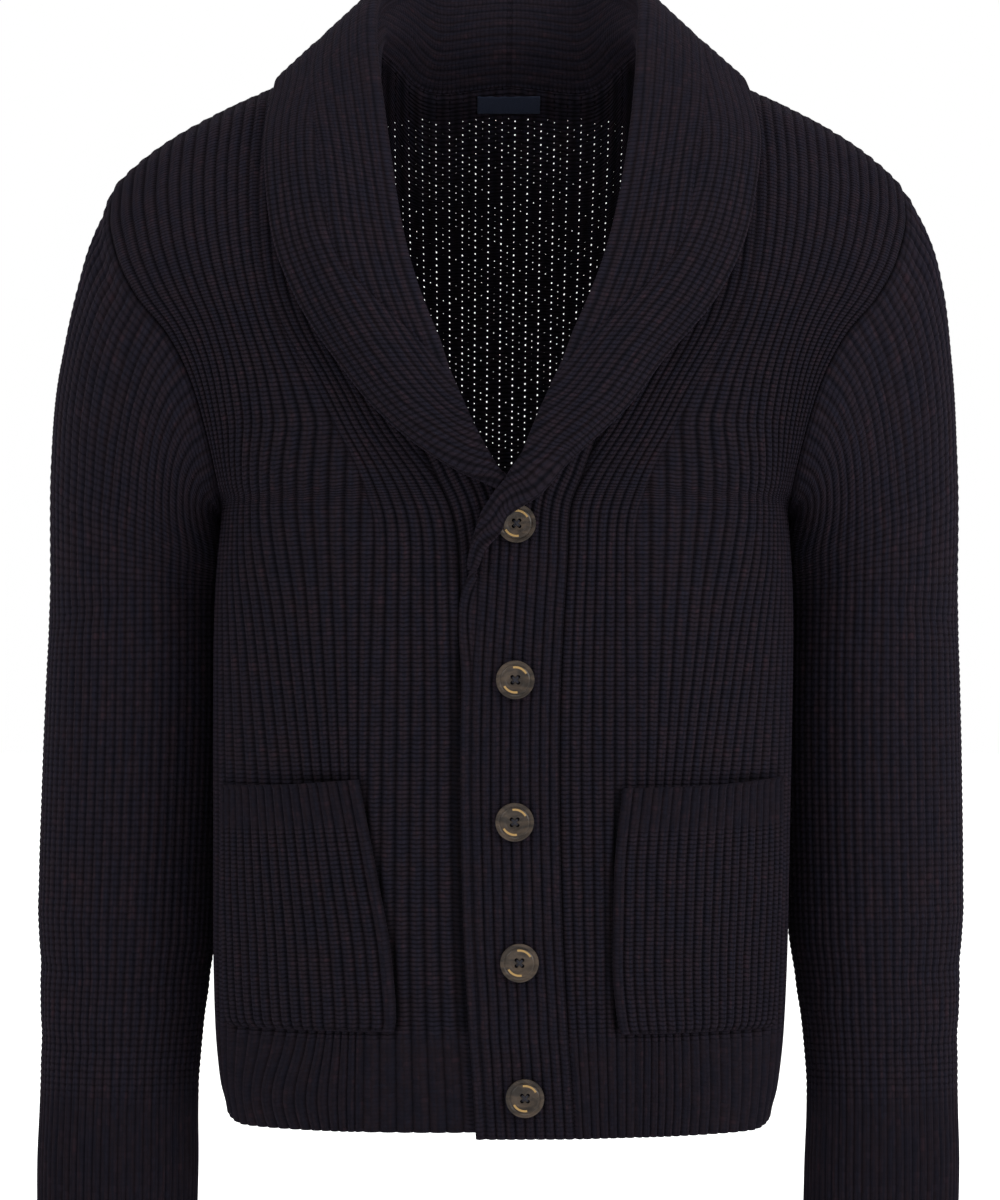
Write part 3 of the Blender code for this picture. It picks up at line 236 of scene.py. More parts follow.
# Knit.
COURSE = 0.0029  # height of one knitted row
SLEEVE_COURSE = 0.0044
SLEEVE_RIBS = 58  # ribs round a sleeve
CREST = 0.0016  # top of a rib above the wall
VALLEY = -0.0005
RIB_SHAPE = (2.3, 0.75)  # exponents of a rib's section
BACK_INSIDE = 0.6  # height of the ribs inside the back, against those outside
RIB_STOPS = (0.0, 0.10, 0.26, 0.5, 0.74, 0.90)  # drawn columns of a rib, by share of it
FIRM_STOPS = (0.0, 0.14, 0.36, 0.64, 0.86)
SLEEVE_STOPS = (0.0, 0.2, 0.5, 0.8)
STITCH_DIMPLE = 0.22  # how far a sleeve's rib sinks between two stitches
SEAM_FADE = 0.0035  # distance over which ribs sink into a seam
END_SINK = 0.3  # what is left of the ribs at a shoulder or centre seam
DENT_PAINTED_SHADE = 0.9  # how dark the painted shade in a dent is, against that in a seam's groove
GROOVE = 0.0010  # depth and half width of the groove along a seam
GROOVE_HALF = 0.0016
HEM_TOP = -0.620  # top of the plain ribbing of the hem
CUFF_TOP = -0.668
CUFF_FADE = 0.024
WELT_FADE = 0.004
MERGE = 2e-5  # points this close are one
LABEL_THICK, LABEL_LIFT = 0.0010, WALL + GAP + 0.0003
LABEL_COLUMNS, LABEL_ROWS = 41, 13
LABEL_EDGE, LABEL_HEM = 0.0006, 0.0004  # how far it stays inside its CAD box
LABEL_WAVE, LABEL_WAVES = 0.00025, 9  # ripple of its long edges

# Folds of the cloth: place, half width across, half length down, lean and height.
FOLD_NAMES = "x z across down lean height"
FRONT_FOLDS = table(FOLD_NAMES, (
    (150, -560, 30, 90, 0, -2), (55, -400, 16, 110, 0.04, -2.6), (105, -430, 30, 60, -0.3, 2.2),
    (60, -625, 14, 45, -0.1, -1.8), (110, -640, 18, 40, 0.15, 1.5),
    (160, -300, 18, 60, -0.35, 2.2), (130, -330, 14, 50, -0.3, -1.6),
    (175, -235, 12, 45, -0.25, -2),
), "lean")
BACK_FOLDS = table(FOLD_NAMES, (
    (0, -300, 60, 80, 0, -3), (120, -240, 20, 80, 0.35, 3), (-125, -255, 20, 70, -0.35, 2.8),
    (90, -600, 50, 60, 0.1, 2.5), (-70, -620, 45, 60, -0.1, 2.2),
), "lean")
# Sleeve folds run round the arm: which sleeve (0 both), angle and height, then the same sizes.
SLEEVE_FOLDS = table("side angle z around down lean height", (
    (-1, 0, -135, 1.1, 75, 0, -9.5), (1, 0, -165, 1.1, 85, 0, -6), (0, 0, -460, 1, 190, 0, 3.8),
    (1, 3.1, -670, 0.9, 120, 0, -4.8), (0, 3.1, -300, 0.9, 30, 0, 8.5),
    (0, 3.1, -562, 0.9, 30, 0, 2.2), (0, -1.9, -300, 0.9, 12, 20, 2),
    (0, -1.2, -345, 0.8, 11, -15, -1.8), (0, -1.5, -560, 1.1, 10, 10, 1.6),
    (0, -1, -590, 1.2, 9, 8, -1.4), (0, -1.8, -615, 1, 9, -10, 1.6),
    (0, -1.3, -640, 1.3, 8, 10, -1.2), (0, 1.4, -330, 1, 14, 20, 2.4),
    (0, 1.7, -580, 1.2, 12, -15, 2.2), (0, 1.2, -620, 1.1, 10, 12, -1.8),
), "side angle around")


# ---------------- curves
def hermite(t, step, first, last, slope, last_slope):
    """A round curve between two values that have given slopes."""
    return ((1 + 2 * t) * (1 - t) ** 2 * first + t * (1 - t) ** 2 * step * slope
            + t * t * (3 - 2 * t) * last - t * t * (1 - t) * step * last_slope)


def smooth(x, xs, ys):
    """Value at x of a smooth curve through the points that does not overshoot."""
    x = min(max(x, xs[0]), xs[-1])
    step = np.diff(xs)
    rise = np.diff(ys) / step
    slope = np.zeros(len(xs))
    slope[0], slope[-1] = rise[0], rise[-1]
    for i in range(1, len(xs) - 1):
        if rise[i - 1] * rise[i] > 0:
            a = 2 * step[i] + step[i - 1]
            b = step[i] + 2 * step[i - 1]
            slope[i] = (a + b) / (a / rise[i - 1] + b / rise[i])
    i = min(max(int(np.searchsorted(xs, x)) - 1, 0), len(xs) - 2)
    return hermite((x - xs[i]) / step[i], step[i], ys[i], ys[i + 1], slope[i], slope[i + 1])


def read(columns, x, name):
    """A column of a table at a place of its first one."""
    return smooth(x, next(iter(columns.values())), columns[name])


def refine(grid, xs, at, axis=0):
    """A smooth surface through a grid whose lines lie at xs, read at other places."""
    p = np.moveaxis(np.asarray(grid, float), axis, 0)
    shape = (-1,) + (1,) * (p.ndim - 1)
    step = np.diff(xs).reshape(shape)
    rise = np.diff(p, axis=0) / step
    slope = np.concatenate([rise[:1], (rise[:-1] * step[1:] + rise[1:] * step[:-1])
                            / (step[1:] + step[:-1]), rise[-1:]])
    i = np.clip(np.searchsorted(xs, at, side="right") - 1, 0, len(xs) - 2)
    t = (np.asarray(at).reshape(shape) - np.asarray(xs)[i].reshape(shape)) / step[i]
    return np.moveaxis(hermite(t, step[i], p[i], p[i + 1], slope[i], slope[i + 1]), 0, axis)


def unit(vectors):
    """Vectors made one long."""
    return vectors / np.maximum(np.linalg.norm(vectors, axis=-1, keepdims=True), 1e-12)


def run_along(points):
    """Distance of each point of a line from its first one."""
    return np.concatenate([[0], np.cumsum(np.linalg.norm(np.diff(points, axis=0), axis=1))])


def along(points, count):
    """Points at equal steps along a line."""
    points = np.asarray(points)
    run = run_along(points)
    return np.stack([np.interp(np.linspace(0, 1, count) * run[-1], run, c) for c in points.T], 1)


def spline(points):
    """A round curve through the points, drawn fine."""
    p = np.asarray(points, float)
    p = np.vstack([2 * p[0] - p[1], p, 2 * p[-1] - p[-2]])
    fine = []
    for a, b, c, d in zip(p, p[1:], p[2:], p[3:]):
        for t in np.linspace(0, 1, SPLINE_STEPS + 1)[:-1]:
            fine.append(0.5 * (2 * b + (c - a) * t + (2 * a - 5 * b + 4 * c - d) * t * t
                               + (3 * b - a - 3 * c + d) * t ** 3))
    fine.append(p[-2])
    return fine


def ease(x):
    """A smooth step from nought to one."""
    x = np.clip(x, 0, 1)
    return x * x * (3 - 2 * x)


def ramp(x, start, end):
    """A smooth step from nought at start to one at end."""
    return ease((np.asarray(x, float) - start) / (end - start))


def bell(x, half):
    """One at nought, dying out on both sides."""
    return np.exp(-(x / half) ** 2)


def soften(values, rounds):
    """Rows of values with their corners rounded off, the end rows kept."""
    values = np.array(values, float)
    for _ in range(rounds):
        values[1:-1] = (values[:-2] + 2 * values[1:-1] + values[2:]) / 4
    return values


# ---------------- torso
def torso_row(row, face):
    """One level of the torso, centre to side or armhole, at equal steps, and its length."""
    value = {name: smooth(row, np.arange(RIDGE + 1), line) for name, line in TORSO.items()}
    part = "front" if face < 0 else "back"
    share, power = value[part + "_share"], 2 / ROUNDNESS
    end = math.acos(min(share ** (ROUNDNESS / 2), 1.0))
    t = end * np.linspace(0, 1, SHARES)
    x = value["edge_x"] / math.sin(end) ** power * np.sin(t) ** power
    y = face * value[part] * np.maximum(np.cos(t), 0) ** power
    if share == 0:
        y[-1] = 0
    reach = np.clip(x / value["edge_x"], 0, 1)
    slope = sum(part * reach ** bend for part, bend in FALL_AWAY)
    z = value["centre_z"] + (value["edge_z"] - value["centre_z"]) * slope
    points = np.stack([x, y, z], axis=1)
    return along(points, SHARES), run_along(points)[-1]


def torso_surface(face):
    """The torso by level and share of its width: points, outward directions, widths."""
    rows = [torso_row(level / LEVELS, face) for level in range(RIDGE * LEVELS + 1)]
    points = np.array([row[0] for row in rows])
    across, up = np.gradient(points, axis=1), np.gradient(points, axis=0)
    return points, unit(np.cross(across, up)) * -face, np.array([row[1] for row in rows])


SURFACE = {face: torso_surface(face) for face in (-1, 1)}


def width(row, face):
    """Cloth from the centre line to the side seam or the armhole."""
    wide = SURFACE[face][2]
    return np.interp(np.asarray(row) * LEVELS, np.arange(len(wide)), wide)


def torso(s, row, face):
    """Points and outward directions of the torso at distances and levels."""
    points, normals, wide = SURFACE[face]
    s, row = np.broadcast_arrays(np.abs(np.asarray(s, float)), np.asarray(row, float))
    i = np.clip(row * LEVELS, 0, len(points) - 1.0001)
    low = i.astype(int)
    t = i - low
    j = np.clip(s / (wide[low] * (1 - t) + wide[low + 1] * t), 0, 1) * (SHARES - 1.0001)
    left = j.astype(int)
    t, r = t[..., None], (j - left)[..., None]
    point, normal = ((grid[low, left] * (1 - r) + grid[low, left + 1] * r) * (1 - t)
                     + (grid[low + 1, left] * (1 - r) + grid[low + 1, left + 1] * r) * t
                     for grid in (points, normals))
    return point, unit(normal)


def spread(share, row, face):
    """Distance from the centre of a rib that stands at a share of the chest."""
    full, wide = width(UNDERARM, face), width(row, face)
    narrow = full + (width(SHAPED_ROWS[1], face) - full) * ramp(row, *SHAPED_ROWS)
    narrow = np.where(np.asarray(row) < SHAPED_ROWS[1], narrow, wide)
    return share * full - (full - narrow) * share ** 2 + (wide - narrow) * share ** SIDE_POWER


def row_at(x, z, face):
    """Level and distance at which the torso's cloth passes a height."""
    points, _, wide = SURFACE[face]
    heights = np.array([np.interp(x, line[:, 0], line[:, 2]) for line in points])
    level = float(np.interp(z, np.maximum.accumulate(heights), np.arange(len(heights))))
    near = int(round(level))
    share = np.interp(x, points[near][:, 0], np.linspace(0, 1, SHARES))
    return level / LEVELS, share * wide[near]


def on_torso(x, z, face, lift):
    """A point above the torso's cloth at a place across and a height."""
    level, far = row_at(abs(x), z, face)
    point, normal = torso(far, level, face)
    return (point + normal * lift) * (-1 if x < 0 else 1, 1, 1)


def centre_height(row):
    """Height of a level at the centre front."""
    return torso(0, row, -1)[0][2]


def band_middle(row):
    """Middle of the closed bands at a level."""
    return read(BAND, centre_height(row), "middle")


def sharp_seam(row, side):
    """Distance of the neckline seam from the centre front, with a corner at the V."""
    name = SIDE_NAMES[side]
    if row >= UNDERARM:
        return read(NECK, row, name)
    seam = band_middle(row) + BAND_HALF
    if side < 0:
        seam = BAND_HALF - TUCK - band_middle(row) + UNCOVERED * ramp(row, *UNCOVERED_ROWS)
    blend = min(max(row - (UNDERARM - 1), 0), 1) ** 2
    return seam * (1 - blend) + NECK[name][0] * blend


SEAM = {side: soften([sharp_seam(level / LEVELS, side) for level in range(RIDGE * LEVELS + 1)],
                     BEND_ROUNDS) for side in (1, -1)}


def neck_seam(row, side):
    """Distance from the centre front of the seam of band or collar."""
    return float(np.interp(row * LEVELS, np.arange(len(SEAM[side])), SEAM[side]))


def layer(s, row, near, side):
    """Step of a front out of or into the torso beside the closed bands."""
    close = np.clip(1 - np.maximum(s - near, 0) / LAYER_FADE, 0, 1)
    return side * LAYER * close * close * np.clip((UNDERARM + 2 - row) / 2, 0, 1)


def square_to(vector, run):
    """The part of a vector square to a line, made one long."""
    return unit(vector - run * np.dot(vector, run))


def seam_frame(point, normal, run, outward, stand, toward):
    """Point of a seam, its rim's direction and the way into the piece sewn to it."""
    run = unit(run)
    rim = unit(square_to(normal, run) + stand * square_to(outward, run))
    into = unit(np.cross(rim, run))
    return point, rim, into if np.dot(into, toward) >= 0 else -into


def armhole_edge(row, face):
    """Armhole seam on a level: point, rim direction and way into the sleeve."""
    point, normal = torso(width(row, face), row, face)
    low, high = (torso(width(at, face), at, face)[0]
                 for at in (max(row - ARMHOLE_STEP, UNDERARM), min(row + ARMHOLE_STEP, RIDGE)))
    run = high - low
    if row in (UNDERARM, RIDGE):
        normal = unit(normal * (1, 0, 1))
        run = np.array([0, face * (1 if row == UNDERARM else -1), 0.0])
    return seam_frame(point, normal, run, point - ARMHOLE_CENTRE, 1.0, (1, 0, 0))


def side_edge(row, face, rim):
    """Outer edge of a front or the back, at the armhole or the side seam under it."""
    if row < UNDERARM:
        return torso(width(row, face), row, face)[0] + (0, face * SEWN, 0), rim
    point, rim, into = armhole_edge(row, face)
    return point - into * SEWN, rim


def back_neck_row(s):
    """Torso row of the back neckline at a distance from the centre back."""
    share = np.minimum(np.abs(s) / BACK_NECK_HALF, 1)
    return BACK_NECK_ROW + (RIDGE - BACK_NECK_ROW) * share ** BACK_NECK_POWER


def neck_edge(s, row, face, side, stand):
    """Seam of band or collar: point, rim direction and way into the collar."""
    point, normal = torso(s, row, face)
    if face < 0:
        point = point + normal * layer(s, row, s, side)
        low, high = (torso(neck_seam(at, side), at, face)[0]
                     for at in (max(row - NECK_STEP, 0), min(row + NECK_STEP, RIDGE)))
        run = high - low
    elif s == 0:
        run = np.array([-1.0, 0, 0])
    else:
        low, high = (torso(at, back_neck_row(at), face)[0]
                     for at in (max(s - BACK_STEP, 0), min(s + BACK_STEP, BACK_NECK_HALF)))
        run = low - high
    away = unit(point * (1, NECK_OVAL, 0))
    return seam_frame(point, normal, run, away, stand, (-1, 0, 0.2) if face < 0 else (0, -1, 1))


def collar_seam(row, side):
    """The same by row alone: rows past the shoulder seam run to the centre back."""
    if row <= RIDGE:
        stand = min(max((row - UNDERARM) / 5, 0), 1)
        return neck_edge(neck_seam(row, side), row, -1, side, stand)
    s = max(BACK_NECK_HALF * (RIDGE + 1 - row), 0)
    return neck_edge(s, back_neck_row(s), 1, 1, 1.0)


# ---------------- knitting
def ribs(first, last, stops=RIB_STOPS):
    """Drawn columns of the ribs between two valleys, counted in ribs."""
    return np.array([n + stop for n in range(first, last) for stop in stops] + [float(last)])


def rib_wall(u, sink=1.0):
    """Height of the cloth across its ribs, whole numbers being valleys, less where they sink."""
    side = np.abs(2 * (u % 1) - 1)
    broad, sharp = RIB_SHAPE
    return VALLEY + (CREST - VALLEY) * np.maximum(1 - side ** broad, 0) ** sharp * sink


def groove(distance):
    """How far the cloth sinks beside a seam."""
    return GROOVE * bell(np.asarray(distance), GROOVE_HALF)


def folds(points, columns):
    """Soft folds of a body piece, out of the cloth."""
    out = np.zeros(points.shape[:-1])
    for x, z, across, down, lean, height in zip(*columns.values()):
        dz = points[..., 2] - z
        out += height * np.exp(-((points[..., 0] - x - lean * dz) / across) ** 2 - (dz / down) ** 2)
    return out


def thinned(points, u, v, plain, down, across):
    """A grid with every so many of its rows and columns, the last ones always."""
    pick = np.ix_(*(sorted({*range(0, count, step), count - 1})
                    for count, step in zip(points.shape, (down, across))))
    return points[pick], u[pick[1]], v[pick[0][:, 0]], plain[pick]


def zip_sides(points, a, b):
    """Triangles between two rows of points that start and end side by side."""
    i = j = 0
    faces = []
    while i < len(a) - 1 or j < len(b) - 1:
        if j == len(b) - 1 or i == len(a) - 1:
            forward = j == len(b) - 1
        else:
            forward = (np.sum((points[a[i + 1]] - points[b[j]]) ** 2)
                       <= np.sum((points[a[i]] - points[b[j + 1]]) ** 2))
        if forward:
            faces.append((int(a[i]), int(a[i + 1]), int(b[j])))
            i += 1
        else:
            faces.append((int(a[i]), int(b[j + 1]), int(b[j])))
            j += 1
    return faces


def tidy(mesh, look, merge=0.0):
    """Merge double points, turn every face outwards and give the mesh its finish."""
    work = bmesh.new()
    work.from_mesh(mesh)
    if merge:
        bmesh.ops.remove_doubles(work, verts=work.verts, dist=merge)
    bmesh.ops.recalc_face_normals(work, faces=work.faces)
    if merge and work.calc_volume(signed=True) < 0:
        bmesh.ops.reverse_faces(work, faces=work.faces)
    work.to_mesh(mesh)
    work.free()
    mesh.materials.clear()
    mesh.materials.append(look)


def cloth(name, outer, inner, look, side=1, tube=False, one_side=False):
    """A closed piece of cloth from its outer and inner grids.

    Each grid is its points, rib coordinates, courses and share of plain welt, which
    is below nought where shade is painted: in the groove of a seam and in the dents
    beside pocket and band.
    """
    points, uv, welt, faces, numbers = [], [], [], [], []
    start = 0
    for grid, u, v, plain in (outer, inner):
        shape = grid.shape[:2]
        ids = start + np.arange(shape[0] * shape[1]).reshape(shape)
        quads = np.stack([ids[:-1, :-1], ids[:-1, 1:], ids[1:, 1:], ids[1:, :-1]], axis=-1)
        faces += [tuple(q) for q in quads.reshape(-1, 4).tolist()]
        points.append(grid.reshape(-1, 3))
        u, v = np.broadcast_to(u, shape), np.broadcast_to(v, shape)
        uv.append(np.stack([u, v], axis=-1).reshape(-1, 2))
        welt.append(np.broadcast_to(plain, shape).reshape(-1))
        numbers.append(ids)
        start += ids.size
    points, uv, welt = np.concatenate(points), np.concatenate(uv), np.concatenate(welt)
    a, b = numbers
    faces += zip_sides(points, a[0], b[0]) + zip_sides(points, a[-1], b[-1])
    if not tube:
        faces += zip_sides(points, a[:, 0], b[:, 0]) + zip_sides(points, a[:, -1], b[:, -1])
    points = points * (side, 1, 1)
    if not tube:
        depth = -points[:, 2]
        share = (side > 0) * 1.0 if one_side else ramp(points[:, 0], *HEM_MIDDLE)
        drop = HEM_DROP[-1] + (HEM_DROP[1] - HEM_DROP[-1]) * share
        corner = np.clip((np.abs(points[:, 0]) - CORNER_FROM) / CORNER_WIDE, 0, 1) ** 3
        points[:, 2] += CORNER * corner * ramp(depth, *CORNER_DEPTHS)
        points[:, 2] -= drop * ramp(-points[:, 2], *HEM_DROP_DEPTHS)
    points[:, 0] += LEAN * (points[:, 2] - LEAN_HEIGHT)
    mesh = bpy.data.meshes.new(name)
    mesh.from_pydata(points.tolist(), [], faces)
    corners = np.empty(len(mesh.loops), int)
    mesh.loops.foreach_get("vertex_index", corners)
    mesh.uv_layers.new(name="knit").data.foreach_set("uv", uv[corners].ravel())
    # welt: share of plain welt, and below nought the strength of the painted shade.
    mesh.attributes.new("welt", "FLOAT", "POINT").data.foreach_set("value", welt)
    tidy(mesh, look, MERGE)
    mesh.shade_smooth()
    piece = bpy.data.objects.new(name, mesh)
    bpy.context.scene.collection.objects.link(piece)
    return piece


# ---------------- fronts
def levels(face, step):
    """Torso rows at equal steps of cloth, measured down the middle of a half."""
    rows = np.linspace(0, RIDGE, 400)
    run = run_along(torso(0.5 * width(rows, face), rows, face)[0])
    count = int(round(run[-1] / step))
    return np.interp(np.linspace(0, run[-1], count + 1), run, rows), run[-1] / count


def rib_share(k, side):
    """Share of the chest at which upright rib line k of a front stands."""
    first, full = NECK["rib_end"][0], width(UNDERARM, -1)
    t = k / SIDE_RIBS[side]
    return (first + (full - first) * (t - SIDE_SPREAD[side] * t * (1 - t))) / full


def drift(share, row, side):
    """How far a front's upright rib stands out of its plain place, towards the side."""
    first = rib_share(0, side)
    middle = np.sin(math.pi * np.clip((share - first) / (1 - first), 0, 1)) ** DRIFT_POWER
    down = (ramp(row, *DRIFT_ROWS) - 0.5) * (1 - ramp(row, *DRIFT_FADE))
    swing = np.sin(math.pi * np.clip((SWING_TOP - row) / SWING_TALL, 0, 1)) ** 2
    return DRIFT * middle * down + HEM_SWING[side] * swing * middle ** 2


def hem_welt(points):
    """Share of the plain hem ribbing."""
    return ease((HEM_TOP + WELT_FADE / 2 - points[..., 2]) / WELT_FADE)


def pocket_rise(share, side):
    """How much higher a pocket's top stands at a share of its width."""
    share = np.clip(share, 0, 1)
    first, last = POCKET_RISE[side]
    return first + (last - first) * share - POCKET_SAG * np.sin(math.pi * share)


def pocket_dent(s, z, side):
    """Share of the dent round the pocket, in the cloth that it lies on, which also sets its painted
    shadow.
    """
    near, far = (np.interp(z, POCKET["z"], POCKET[SIDE_NAMES[side] + edge])
                 for edge in ("_near", "_far"))
    top = POCKET["z"][-1] + pocket_rise((s - near) / (far - near), side)
    bottom, soft = POCKET["z"][0], POCKET_SOFT
    within = ramp(z - bottom, -soft / 2, soft / 2) * ramp(top - z, -soft / 2, soft / 2)
    beside = bell(near - POCKET_SINK_HALF * 0.7 - s, POCKET_SINK_HALF) * within
    around = (-POCKET_AROUND, soft - POCKET_AROUND)
    over = ramp(s - near, *around) * ramp(far - s, *around)
    ends = np.maximum(*(bell(z - edge - off, half) for edge, (off, half)
                        in ((top, POCKET_TOP_DENT), (bottom, POCKET_FOOT_DENT))))
    return np.maximum(beside, over * ends)


def front(side, name, look):
    """One front, welt to shoulder seam, some of its ribs ending at the neckline ribs."""
    rows, step = levels(-1, 2 * COURSE)
    tall = rows[:, None]
    near = np.array([neck_seam(row, side) for row in rows])[:, None]
    wide = width(tall, -1)
    drawn = np.arange(RIDGE * LEVELS + 1) / LEVELS
    stop = np.array([read(NECK, row, "rib_end") for row in drawn])
    first, last = (spread(rib_share(k, side), drawn, -1) for k in (0, ENDED_RIBS))
    limit = soften(np.where(drawn <= UNDERARM, first, np.maximum(stop, first)), BEND_ROUNDS)
    limit, last = (np.interp(tall, drawn, line) for line in (limit, last))
    beside, upright = ribs(0, NECK_RIBS), ribs(0, SIDE_RIBS[side])[1:]
    shown = BAND_RIBS + (NECK_RIBS - BAND_RIBS) * ramp(tall, *NECK_RIB_ROWS)
    along_neck = limit - (limit - near) * (NECK_RIBS - beside) / shown
    share = rib_share(upright, side)[None, :]
    free = spread(share, tall, -1) + drift(share, tall, side)
    free = free + np.maximum(limit - last, 0) * np.clip((wide - free) / (wide - last), 0, 1)
    s = np.concatenate([np.maximum(along_neck, near), np.maximum(free, limit)], axis=1)
    u = np.concatenate([beside, NECK_RIBS + upright])
    sink = ease(np.concatenate([along_neck - near, free - limit], axis=1) / SEAM_FADE)
    sink[-1] = END_SINK
    points, normals = torso(s, tall, -1)
    points = points + normals * (layer(s, tall, near, side) + folds(points, FRONT_FOLDS))[..., None]
    rims = normals.copy()
    for j, row in enumerate(rows):
        point, rim, into = collar_seam(row, side)
        points[j, 0] = point - into * SEWN
        rims[j, 0] = unit(rim * (1, 0, 1)) if row == RIDGE else rim
        points[j, -1], rims[j, -1] = side_edge(row, -1, rims[j, -1])
    points[-1, :, 1] = -SEWN
    rims[-1] = unit(rims[-1] * (1, 0, 1))
    v = np.arange(len(rows))[:, None] * step / COURSE
    sewn = groove(np.minimum(s - near, wide - s))
    dent = pocket_dent(s, points[..., 2], side)
    # Beside the upper band the lower front dents in, and the shadow cast by the band's edge is
    # painted there.
    if side < 0:
        edge = np.array([BAND_HALF - band_middle(row) for row in rows])[:, None]
        under = bell(s - edge - BAND_SHADE, BAND_SHADE) * (1 - ramp(tall, *BAND_SHADE_ROWS))
        dent = np.maximum(dent, under)
    # plain goes below nought where shade is painted: seam grooves, the dent round the pocket and
    # beside the band.
    plain = np.maximum(hem_welt(points) - sewn / GROOVE - DENT_PAINTED_SHADE * dent, -1)
    outer = points + rims * (rib_wall(u, sink) - sewn - POCKET_SINK * dent)[..., None]
    inner = thinned(points - rims * WALL, u, v, plain, 2, 3)
    return cloth(name, (outer, u, v, plain), inner, look, side, one_side=True)


# ---------------- back
def back(_, name, look):
    """The back, welt to shoulders and neck."""
    rows, step = levels(1, 2 * COURSE)
    line = ribs(-BACK_RIBS, BACK_RIBS, FIRM_STOPS)
    share = np.abs(line)[None, :] / BACK_RIBS
    level = rows[:, None] * np.ones_like(share)
    bend = (back_neck_row(spread(share, level, 1)) - BACK_BEND) / (RIDGE - BACK_BEND)
    level = np.where(level > BACK_BEND, BACK_BEND + (level - BACK_BEND) * bend, level)
    s = spread(share, level, 1)
    points, rims = torso(s, level, 1)
    mirror = np.where(line < 0, -1.0, 1.0)[None, :, None] * (1, 0, 0) + (0, 1, 1)
    points = points + rims * folds(points * mirror, BACK_FOLDS)[..., None]
    for j, row in enumerate(rows):
        for k in (0, -1):
            points[j, k], rims[j, k] = side_edge(row, 1, rims[j, k])
    for k in range(len(line)):
        if s[-1, k] < BACK_NECK_HALF:
            point, rims[-1, k], into = neck_edge(s[-1, k], level[-1, k], 1, 1, 1.0)
            points[-1, k] = point - into * SEWN
        else:
            points[-1, k, 1] = SEWN
            rims[-1, k] = unit(rims[-1, k] * (1, 0, 1))
    points, rims = points * mirror, rims * mirror
    sink = np.ones_like(s)
    sink[-1] = END_SINK
    u = line + BACK_RIBS
    v = np.arange(len(rows))[:, None] * step / COURSE
    sewn = groove(width(rows, 1)[:, None] - s)
    # Painted shade in the side seams' grooves, carried below nought in plain.
    plain = hem_welt(points) - sewn / GROOVE
    outer = points + rims * (rib_wall(u, sink) - sewn)[..., None]
    inside = WALL + BACK_INSIDE * (rib_wall(u + 0.5) - VALLEY) * sink
    inner = points - rims * inside[..., None]
    return cloth(name, (outer, u, v, plain), thinned(inner, u, v, plain, 2, 1), look)


# ---------------- sleeves
def sleeve_rail(point, into, angle):
    """A line down the sleeve from a point of the armhole."""
    z, cx, cy, hx, hy = (line[::-1] for line in SLEEVE.values())
    rings = np.stack([cx + hx * math.cos(angle), cy + hy * math.sin(angle), z], axis=1)
    reach = np.linalg.norm(rings[0] - point)
    leave = unit(into * (1, 0, 1) + np.array([0, 0, -SLEEVE_DROOP])) * reach * SLEEVE_START
    hang = np.array([0, 0, -1.0]) * reach * SLEEVE_HANG
    return [hermite(t, 1, point, rings[0], leave, hang) for t in SLEEVE_STEPS] + list(rings)


def sleeve_folds(angle, z, side):
    """Soft folds round a sleeve, out of the cloth."""
    out = np.zeros(np.broadcast_shapes(angle.shape, z.shape))
    for which, at, height_z, around, down, lean, height in zip(*SLEEVE_FOLDS.values()):
        if which != -side:
            turn = (angle - at + math.pi) % (2 * math.pi) - math.pi
            out += height * np.exp(-(turn / around) ** 2
                                   - ((z - height_z - lean * turn) / down) ** 2)
    return out


def sleeve(side, name, look):
    """One sleeve, armhole to cuff."""
    climb = np.linspace(UNDERARM, RIDGE, ARMHOLE_EDGES)
    loop = [armhole_edge(row, -1) for row in climb]
    loop += [armhole_edge(row, 1) for row in np.linspace(RIDGE, UNDERARM, ARMHOLE_EDGES)[1:]]
    top = len(climb) - 1
    starts = np.array([point + into * SEWN for point, _, into in loop])
    run = run_along(starts)
    angles = np.where(run <= run[top], -math.pi + math.pi * run / run[top],
                      math.pi * (run - run[top]) / (run[-1] - run[top]))
    rails = np.array([sleeve_rail(start, edge[2], angle)
                      for start, edge, angle in zip(starts, loop, angles)])
    rims = np.array([edge[1] for edge in loop])[:, None]
    ring = np.concatenate([run[-3:-1] - run[-1], run, run[1:3] + run[-1]])
    around, rims = (np.concatenate([grid[-3:-1], grid, grid[1:3]]) for grid in (rails, rims))
    u = ribs(0, SLEEVE_RIBS, SLEEVE_STOPS)
    at = u / SLEEVE_RIBS * run[-1]
    columns, rims = refine(around, ring, at), unit(refine(rims, ring, at)[:, 0])
    down = np.linalg.norm(np.diff(rails, axis=1), axis=2).mean(axis=0)
    down = np.concatenate([[0], np.cumsum(down)])
    courses = int(round(down[-1] / SLEEVE_COURSE))
    v = np.arange(2 * courses + 1)[:, None] / 2
    points = refine(columns, down, v[:, 0] / courses * down[-1], axis=1).swapaxes(0, 1)
    wrapped = np.concatenate([points[:, -3:-1], points, points[:, 1:3]], axis=1)
    normals = unit(np.cross(np.gradient(wrapped, axis=1)[:, 2:-2], np.gradient(points, axis=0)))
    if np.sum(normals[-1] * (points[-1] - points[-1].mean(axis=0))) < 0:
        normals = -normals
    normals[0] = rims
    turn = np.interp(at, run, angles)[None, :]
    points = points + normals * (sleeve_folds(turn, points[..., 2], side) * ease(v / 3))[..., None]
    plain = ease((CUFF_TOP + CUFF_FADE / 2 - points[..., 2]) / CUFF_FADE)
    dimple = 1 - STITCH_DIMPLE * (1 - plain) * (v % 1 == 0)
    sewn = groove(v * SLEEVE_COURSE) + 0 * turn
    # Painted shade in the armhole seam's groove, carried below nought in plain.
    plain = plain - sewn / GROOVE
    outer = points + normals * (rib_wall(u, ease(v / 1.5) * dimple) - sewn)[..., None]
    inner = thinned(points - normals * WALL, u, v, plain, 4, 2)
    return cloth(name, (outer, u, v, plain), inner, look, side, tube=True)


# ---------------- collar
Section = namedtuple("Section", "row seam fold edge rim into folded")


